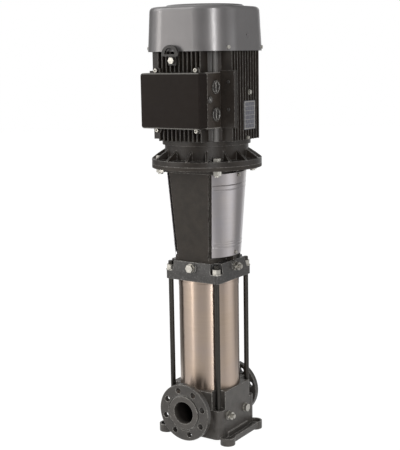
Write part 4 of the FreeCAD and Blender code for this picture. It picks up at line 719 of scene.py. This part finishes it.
class PUMP_OT_dress_fasteners(bpy.types.Operator):
    """Finish screws, nuts, washers, plugs and valves"""

    bl_idname = "pump.dress_fasteners"
    bl_label = "Dress fasteners"

    def execute(self, context):
        dress(
            plated_steel("zinc_plating", context.scene.pump_finishes.zinc_plating, 0.34, tarnish=0.4),
            "hex_nuts", "staybolt_washers", "short_hex_bolts", "socket_screws", "motor_flange_bolts",
            "coupling_screws", "base_and_head_plugs", "valve_bodies", "drain_spindle", "vent_spindle",
        )
        return {"FINISHED"}


class PUMP_OT_dress_inner(bpy.types.Operator):
    """Finish the pieces inside the pump and the motor"""

    bl_idname = "pump.dress_inner"
    bl_label = "Dress inner pieces"

    def execute(self, context):
        core = banded_metal(
            "core_steel", (0.30, 0.31, 0.33), waves=(320.0, 0.4), direction="Z", dark=0.6, metallic=0.9,
            dull=0.55, bright=0.4, depth=0.1 * MM, strength=0.4,
        )
        windings = banded_metal(
            "winding_copper", (0.55, 0.25, 0.11), waves=(260.0, 3.0), direction="DIAGONAL", dark=0.45,
            metallic=0.6, dull=0.5, bright=0.3, depth=0.5 * MM, strength=0.7,
        )
        rings = plated_steel("hard_ring", (0.16, 0.16, 0.17), 0.25, tarnish=0.1)
        dress(core, "stator_core", "rotor_core")
        dress(windings, "stator_windings")
        dress(rings, "bearing_bushes", "seal_seat", "rotating_seal")
        dress(moulded("seal_rubber", (0.018, 0.018, 0.018), 0.6), "sleeve_seals")
        dress(moulded("board_plastic", (0.33, 0.11, 0.055), 0.45), "terminal_board")
        dress(plated_steel("stud_brass", (0.74, 0.53, 0.24), 0.25, tarnish=0.15), "terminal_studs")
        return {"FINISHED"}


# Trim

MERGE_DISTANCE = 1e-6
CHAMFER = 0.86  # where a hexagon head's chamfer starts, and the share of its width that is left on top
FIELD_LINES = 5


def linked_object(name, data):
    """A new object in the scene's collection."""
    made = bpy.data.objects.new(name, data)
    bpy.context.scene.collection.objects.link(made)
    return made


def mesh_of(name, shape):
    """A mesh from a working mesh, which is freed."""
    mesh = bpy.data.meshes.new(name)
    shape.to_mesh(mesh)
    shape.free()
    return mesh


def trim_piece(name, mesh, body):
    """A piece of trim that rides on a body."""
    piece = linked_object(name, mesh)
    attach(piece, body)
    return piece


def piece_from(shape, name, material, body):
    """Merge a working mesh, turn its faces outwards and let it ride on a body."""
    bmesh.ops.remove_doubles(shape, verts=shape.verts, dist=MERGE_DISTANCE)
    bmesh.ops.recalc_face_normals(shape, faces=shape.faces)
    if not shape.faces:
        raise RuntimeError(f"{name}: the working mesh is empty")
    mesh = mesh_of(name, shape)
    mesh.materials.append(material)
    return trim_piece(name, mesh, body)


def ring_of(shape, centre, axis, radius, along, steps):
    """Vertices evenly round an axis, or a single one where the radius is nothing."""
    axis = Vector(axis).normalized()
    across = axis.orthogonal().normalized()
    other = axis.cross(across)
    middle = Vector(centre) + axis * along
    if radius == 0:
        return [shape.verts.new(middle)]
    turns = [2 * math.pi * k / steps for k in range(steps)]
    return [shape.verts.new(middle + (across * math.cos(t) + other * math.sin(t)) * radius) for t in turns]


def join_rings(shape, rings):
    """Faces between neighbouring rings, three-cornered where a ring is a single vertex."""
    steps = max(len(ring) for ring in rings)
    for low, high in zip(rings, rings[1:]):
        for k in range(steps):
            j = (k + 1) % steps
            corners = [low[k % len(low)], low[j % len(low)], high[j % len(high)], high[k % len(high)]]
            unique = list(dict.fromkeys(corners))
            if len(unique) > 2:
                shape.faces.new(unique)


def lathe(shape, profile, centre, axis, steps=32):
    """Turn a profile of (radius, distance along axis) into a closed form."""
    join_rings(shape, [ring_of(shape, centre, axis, radius, along, steps) for radius, along in profile])


def hex_head(shape, centre, axis, across_flats, height, washer):
    """A hexagon head with a chamfered top, on a round washer face."""
    corner = across_flats / math.sqrt(3)
    profile = ((corner, washer), (corner, washer + CHAMFER * height), (CHAMFER * corner, washer + height))
    rings = [ring_of(shape, centre, axis, radius, along, 6) for radius, along in profile]
    for end in (rings[0], rings[-1]):
        shape.faces.new(end)
    join_rings(shape, rings)
    radius = 0.62 * across_flats
    lathe(shape, [(0, 0), (radius, 0), (radius, washer), (0, washer)], centre, axis)


def plate(shape, low, high):
    """Add a thin sheet between two corners."""
    size = Vector(high) - Vector(low)
    middle = (Vector(high) + Vector(low)) / 2
    for vertex in bmesh.ops.create_cube(shape, size=1.0)["verts"]:
        vertex.co = vertex.co * size + middle


def geometry_piece(name, tree, values, body, offset, turn=Matrix.Identity(4)):
    """Evaluate a geometry tree with its inputs set and keep the result as a plain mesh on a body."""
    carrier = linked_object(name + "_carrier", bpy.data.meshes.new(name + "_carrier"))
    modifier = carrier.modifiers.new(name, "NODES")
    modifier.node_group = tree
    for item in tree.interface.items_tree:
        if item.name in values:
            modifier[item.identifier] = values[item.name]
    bpy.context.view_layer.update()
    evaluated = carrier.evaluated_get(bpy.context.evaluated_depsgraph_get())
    mesh = bpy.data.meshes.new_from_object(evaluated)
    carrier.modifiers.remove(modifier)
    bpy.data.objects.remove(carrier)
    if not mesh.polygons:
        raise RuntimeError(f"{name}: the geometry tree made nothing")
    mesh.name = name
    mesh.transform(Matrix.Translation(offset) @ turn)
    return trim_piece(name, mesh, body)


def geometry_tree(name, inputs):
    """A geometry tree, what it is given and its output node."""
    return new_tree(name, inputs, {"Geometry": "NodeSocketGeometry"}, "GeometryNodeTree")


def finished_copies(tree, result, points, instance, material):
    """Copies of one form on points, made real, smooth and finished, as a geometry tree's result."""
    copies = add_node(tree, "GeometryNodeInstanceOnPoints", {"Points": points, "Instance": instance})
    real = add_node(tree, "GeometryNodeRealizeInstances", {"Geometry": copies.outputs[0]})
    smooth = add_node(tree, "GeometryNodeSetShadeSmooth", {"Geometry": real.outputs[0]})
    dressed = {"Geometry": smooth.outputs[0], "Material": material}
    set_inputs(tree, result, {0: add_node(tree, "GeometryNodeSetMaterial", dressed).outputs[0]})


def rivet_tree(material):
    """Domed rivets at the corners of a rectangle in the XY plane, heads along +Z."""
    tree, given, result = geometry_tree(
        "corner_rivets", {"Width": 55 * MM, "Height": 80 * MM, "Radius": 2 * MM, "Columns": 2, "Rows": 2}
    )
    sizes = {
        "Size X": given["Width"],
        "Size Y": given["Height"],
        "Vertices X": given["Columns"],
        "Vertices Y": given["Rows"],
    }
    grid = add_node(tree, "GeometryNodeMeshGrid", sizes)
    ball = {"Segments": 12, "Rings": 8, "Radius": given["Radius"]}
    dome = add_node(tree, "GeometryNodeMeshUVSphere", ball)
    flat = add_node(tree, "GeometryNodeTransform", {"Geometry": dome.outputs[0], "Scale": (1.0, 1.0, 0.55)})
    finished_copies(tree, result, grid.outputs["Mesh"], flat.outputs[0], material)
    return tree


def thread_tree(material):
    """Thread crests as close rings up a stud along +Z."""
    tree, given, result = geometry_tree(
        "thread_crests", {"Stud radius": 8 * MM, "Pitch": 2 * MM, "Turns": 5, "Crest": 0.5 * MM}
    )
    circle, section = (
        add_node(tree, "GeometryNodeCurvePrimitiveCircle", {"Resolution": count, "Radius": given[size]})
        for count, size in ((32, "Stud radius"), (6, "Crest"))
    )
    curves = {"Curve": circle.outputs[0], "Profile Curve": section.outputs[0]}
    ring = add_node(tree, "GeometryNodeCurveToMesh", curves)
    step = add_node(tree, "ShaderNodeCombineXYZ", {"Z": given["Pitch"]})
    line = add_node(tree, "GeometryNodeMeshLine", {"Count": given["Turns"], "Offset": step.outputs[0]})
    finished_copies(tree, result, line.outputs[0], ring.outputs[0], material)
    return tree


class PUMP_OT_nameplate(bpy.types.Operator):
    """Fix a nameplate with plain field lines and corner rivets to the motor's right side"""

    bl_idname = "pump.nameplate"
    bl_label = "Nameplate"

    def execute(self, context):
        trim = context.scene.pump_trim
        y, z = trim.plate_middle_y, trim.plate_middle_z
        half_w, half_h = trim.plate_width / 2, trim.plate_height / 2
        back = trim.fin_reach - 0.2 * MM
        front = trim.fin_reach + trim.plate_thickness
        zinc = FINISHES["zinc_plating"]

        sheet = bmesh.new()
        plate(sheet, (back, y - half_w, z - half_h), (front, y + half_w, z + half_h))
        edges = sheet.edges[:]
        bmesh.ops.bevel(sheet, geom=edges, offset=0.3 * MM, segments=2, affect="EDGES", profile=0.5)
        metal = plated_steel("plate_metal", (0.18, 0.18, 0.20), 0.38, tarnish=0.8)
        piece_from(sheet, "nameplate", metal, "pump_frame")

        border = bmesh.new()
        inset, rail, relief = 3.5 * MM, 1.1 * MM, 0.35 * MM
        reach_y, reach_z = half_w - inset, half_h - inset

        def bar(mid_y, mid_z, half_y, half_z):
            low = (front, mid_y - half_y, mid_z - half_z)
            plate(border, low, (front + relief, mid_y + half_y, mid_z + half_z))

        for sign in (-1, 1):
            bar(y, z + sign * reach_z, reach_y, rail)
            bar(y + sign * reach_y, z, rail, reach_z)
        for k in range(1, FIELD_LINES + 1):
            bar(y, z - reach_z + k * 2 * reach_z / (FIELD_LINES + 1), reach_y, rail / 2)
        piece_from(border, "nameplate_border", zinc, "pump_frame")

        spacing = 9 * MM  # how much less than the plate the rivets' rectangle measures
        sizes = {
            "Width": trim.plate_height - spacing,
            "Height": trim.plate_width - spacing,
            "Radius": trim.rivet_radius,
        }
        facing_x = Matrix.Rotation(math.radians(90), 4, "Y")
        geometry_piece(
            "nameplate_rivets", rivet_tree(zinc), sizes, "pump_frame", (front, y, z), facing_x
        )
        return {"FINISHED"}


class PUMP_OT_stud_threads(bpy.types.Operator):
    """Cut the look of threads into the staybolt ends above their nuts"""

    bl_idname = "pump.stud_threads"
    bl_label = "Stud threads"

    def execute(self, context):
        stud_radius, sunk, thread_length = 8 * MM, 0.3 * MM, 11.2 * MM
        pitch = context.scene.pump_trim.thread_pitch
        sizes = {"Stud radius": stud_radius - sunk, "Pitch": pitch, "Turns": 5, "Crest": 0.55 * MM}
        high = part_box("staybolts")[1]
        offset = high.x - stud_radius
        bottom = high.z - thread_length
        tree = thread_tree(FINISHES["staybolt_steel"])
        for k, (x, y) in enumerate(((1, -1), (1, 1), (-1, 1), (-1, -1)), start=1):
            geometry_piece(
                f"stud_thread_{k}", tree, sizes, "pump_frame", (x * offset, y * offset, bottom)
            )
        return {"FINISHED"}


class PUMP_OT_side_screws(bpy.types.Operator):
    """Put the earth screw and the pad screws on the motor's right side and on its saddle"""

    bl_idname = "pump.side_screws"
    bl_label = "Side screws"

    def execute(self, context):
        seat = context.scene.pump_trim.fin_reach - 0.5 * MM
        # Name, place and level on the side, size across flats, height and washer face
        for name, *sizes in (
            ("earth_screw", 20, 1117, 13, 5.5, 1.8),
            ("lower_side_screw", 9, 977, 10, 4.5, 1.5),
        ):
            y, z, across_flats, height, washer = (size * MM for size in sizes)
            screw = bmesh.new()
            hex_head(screw, (seat, y, z), (1, 0, 0), across_flats, height, washer)
            piece_from(screw, name, FINISHES["zinc_plating"], "pump_frame")

        saddle = bmesh.new()
        head = [(0, -1), (5.5, -1), (5.5, 3), (4.5, 4), (2.6, 4), (2.6, 1.5), (0, 1.5)]
        profile = [(radius * MM, along * MM) for radius, along in head]
        across, face = 137 * MM, -83 * MM
        for x in (-across, across):
            for z in (1151 * MM, 1068 * MM):
                lathe(saddle, profile, (x, face, z), (0, -1, 0), 24)
        piece_from(saddle, "saddle_screws", FINISHES["bracket_enamel"], "pump_frame")
        return {"FINISHED"}


# Stage


def area_lamp(name, azimuth, distance, height, width, tall, power, aim, colour):
    """A soft lamp on a circle round the pump. Azimuth 0 is in front of the suction flange."""
    data = bpy.data.lights.new(name, "AREA")
    data.shape = "RECTANGLE"
    data.size = width
    data.size_y = tall
    data.energy = power
    data.color = colour
    lamp = linked_object(name, data)
    turn = math.radians(azimuth)
    lamp.location = (distance * math.sin(turn), -distance * math.cos(turn), height)
    lamp.rotation_mode = "QUATERNION"
    lamp.rotation_quaternion = (Vector((0, 0, aim)) - lamp.location).to_track_quat("-Z", "Y")


def glowing_grey(name, grey):
    """A material that gives one even grey."""
    return shown_by(blank_material(name)[0], "ShaderNodeEmission", {"Color": (grey, grey, grey, 1.0)})


def dark_flag(name, azimuth, distance, width, stand, floor, roof):
    """Grey panels that only mirrors see: upright, or running back towards the pump below and overhead."""
    turn = math.radians(azimuth)
    outward = Vector((math.sin(turn), -math.cos(turn), 0.0))
    across = Vector((math.cos(turn), math.sin(turn), 0.0)) * width / 2
    lift = Vector((0.0, 0.0, 2 * MM))
    rise = Vector((0.0, 0.0, FLAG_HEIGHT))
    inner, outer = outward * FLAG_NEAR + lift, outward * distance + lift
    share = FLAG_NEAR / distance
    far_side = (outer - across, outer + across)
    strip = (*far_side, inner + across * share, inner - across * share)
    upright = (*far_side, outer + across + rise, outer - across + rise)
    overhead = [corner + rise for corner in strip]
    shape = bmesh.new()
    materials = []
    panels = (("stand", upright, stand), ("floor", strip, floor), ("roof", overhead, roof))
    for part, corners, grey in panels:
        if grey is not None:
            panel = shape.faces.new([shape.verts.new(corner) for corner in corners])
            panel.material_index = len(materials)
            materials.append(glowing_grey(f"{name}_{part}", grey))
    mesh = mesh_of(name, shape)
    for material in materials:
        mesh.materials.append(material)
    flag = linked_object(name, mesh)
    flag.visible_camera = False
    flag.visible_diffuse = False
    flag.visible_shadow = False


def background_share(tree):
    """One where a ray shows the background: seen directly, mirrored or through glass."""
    rays = add_node(tree, "ShaderNodeLightPath").outputs
    shown = arithmetic(tree, "ADD", rays["Is Camera Ray"], rays["Is Glossy Ray"], clamped=True)
    return arithmetic(tree, "ADD", shown, rays["Is Transmission Ray"], clamped=True)


class PUMP_OT_stage(bpy.types.Operator):
    """Floor, white background, soft lamps and the camera of the photograph's view"""

    bl_idname = "pump.stage"
    bl_label = "Stage"

    def execute(self, context):
        studio = context.scene.pump_studio
        self.make_floor(studio)
        self.make_world(studio)
        for name, azimuth, distance, height, width, tall, watts, aim, colour in LAMPS:
            area_lamp(name, azimuth, distance, height, width, tall, watts * studio.lamps, aim, colour)
        for flag in FLAGS:
            dark_flag(*flag)
        self.make_camera(studio)
        context.scene.view_settings.view_transform = "Standard"
        return {"FINISHED"}

    def make_floor(self, studio):
        shape = bmesh.new()
        bmesh.ops.create_circle(shape, cap_ends=True, radius=FLOOR_RADIUS, segments=96)
        floor = linked_object("studio_floor", mesh_of("studio_floor", shape))
        material, tree = blank_material("floor_paper")
        paper = add_node(tree, "ShaderNodeBsdfDiffuse", {"Color": (*studio.floor_colour, 1.0)}).outputs[0]
        white = add_node(tree, "ShaderNodeEmission", {"Strength": PAPER_GLOW}).outputs[0]
        share = arithmetic(tree, "MULTIPLY", background_share(tree), PAPER_GLOW_SHARE)
        shown_by(material, "ShaderNodeMixShader", {0: share, 1: paper, 2: white})
        floor.data.materials.append(material)

    def make_world(self, studio):
        world = bpy.data.worlds.new("studio_world")
        tree = cleared_tree(world)
        dim, white = (
            add_node(tree, "ShaderNodeBackground", {0: (1.0, 1.0, 1.0, 1.0), 1: strength}).outputs[0]
            for strength in (studio.ambient, 1.0)
        )
        both = add_node(tree, "ShaderNodeMixShader", {0: background_share(tree), 1: dim, 2: white})
        add_node(tree, "ShaderNodeOutputWorld", {0: both.outputs[0]})
        bpy.context.scene.world = world

    def make_camera(self, studio):
        data = bpy.data.cameras.new("photograph_camera")
        data.lens = studio.lens
        data.sensor_width = SENSOR_WIDTH
        data.shift_x = CAMERA_SHIFT
        data.clip_start = 0.1
        data.clip_end = 60.0
        camera = linked_object("photograph_camera", data)
        turn, tilt, roll = studio.azimuth, studio.tilt, studio.roll
        ahead = Vector((-math.sin(turn) * math.cos(tilt), math.cos(turn) * math.cos(tilt), -math.sin(tilt)))
        right = Vector((math.cos(turn), math.sin(turn), 0.0))
        above = right.cross(ahead)
        rolled_right = right * math.cos(roll) + above * math.sin(roll)
        rolled_above = above * math.cos(roll) - right * math.sin(roll)
        facing = Matrix((rolled_right, rolled_above, -ahead)).transposed()
        camera.rotation_mode = "QUATERNION"
        camera.rotation_quaternion = facing.to_quaternion()
        camera.location = CAMERA_PLACE
        bpy.context.scene.camera = camera


STEPS = (
    PUMP_OT_dress_castings,
    PUMP_OT_dress_motor,
    PUMP_OT_dress_steel,
    PUMP_OT_dress_fasteners,
    PUMP_OT_dress_inner,
    PUMP_OT_nameplate,
    PUMP_OT_stud_threads,
    PUMP_OT_side_screws,
    PUMP_OT_stage,
)


class PUMP_PT_looks(bpy.types.Panel):
    """Buttons for each step and the values they use"""

    bl_idname = "PUMP_PT_looks"
    bl_label = "Vertical pump"
    bl_space_type = "VIEW_3D"
    bl_region_type = "UI"
    bl_category = "Pump"

    def draw(self, context):
        layout = self.layout
        for step in STEPS:
            layout.operator(step.bl_idname)
        for values in (context.scene.pump_finishes, context.scene.pump_trim, context.scene.pump_studio):
            box = layout.box()
            for key in values.__annotations__:
                box.prop(values, key)


CLASSES = (PumpFinishes, PumpTrim, PumpStudio, *STEPS, PUMP_PT_looks)


def register():
    for item in CLASSES:
        bpy.utils.register_class(item)
    bpy.types.Scene.pump_finishes = bpy.props.PointerProperty(type=PumpFinishes)
    bpy.types.Scene.pump_trim = bpy.props.PointerProperty(type=PumpTrim)
    bpy.types.Scene.pump_studio = bpy.props.PointerProperty(type=PumpStudio)


def unregister():
    del bpy.types.Scene.pump_studio
    del bpy.types.Scene.pump_trim
    del bpy.types.Scene.pump_finishes
    for item in reversed(CLASSES):
        bpy.utils.unregister_class(item)


def main():
    register()
    for step in STEPS:
        area, action = step.bl_idname.split(".")
        getattr(getattr(bpy.ops, area), action)()


if __name__ == "__main__":
    main()
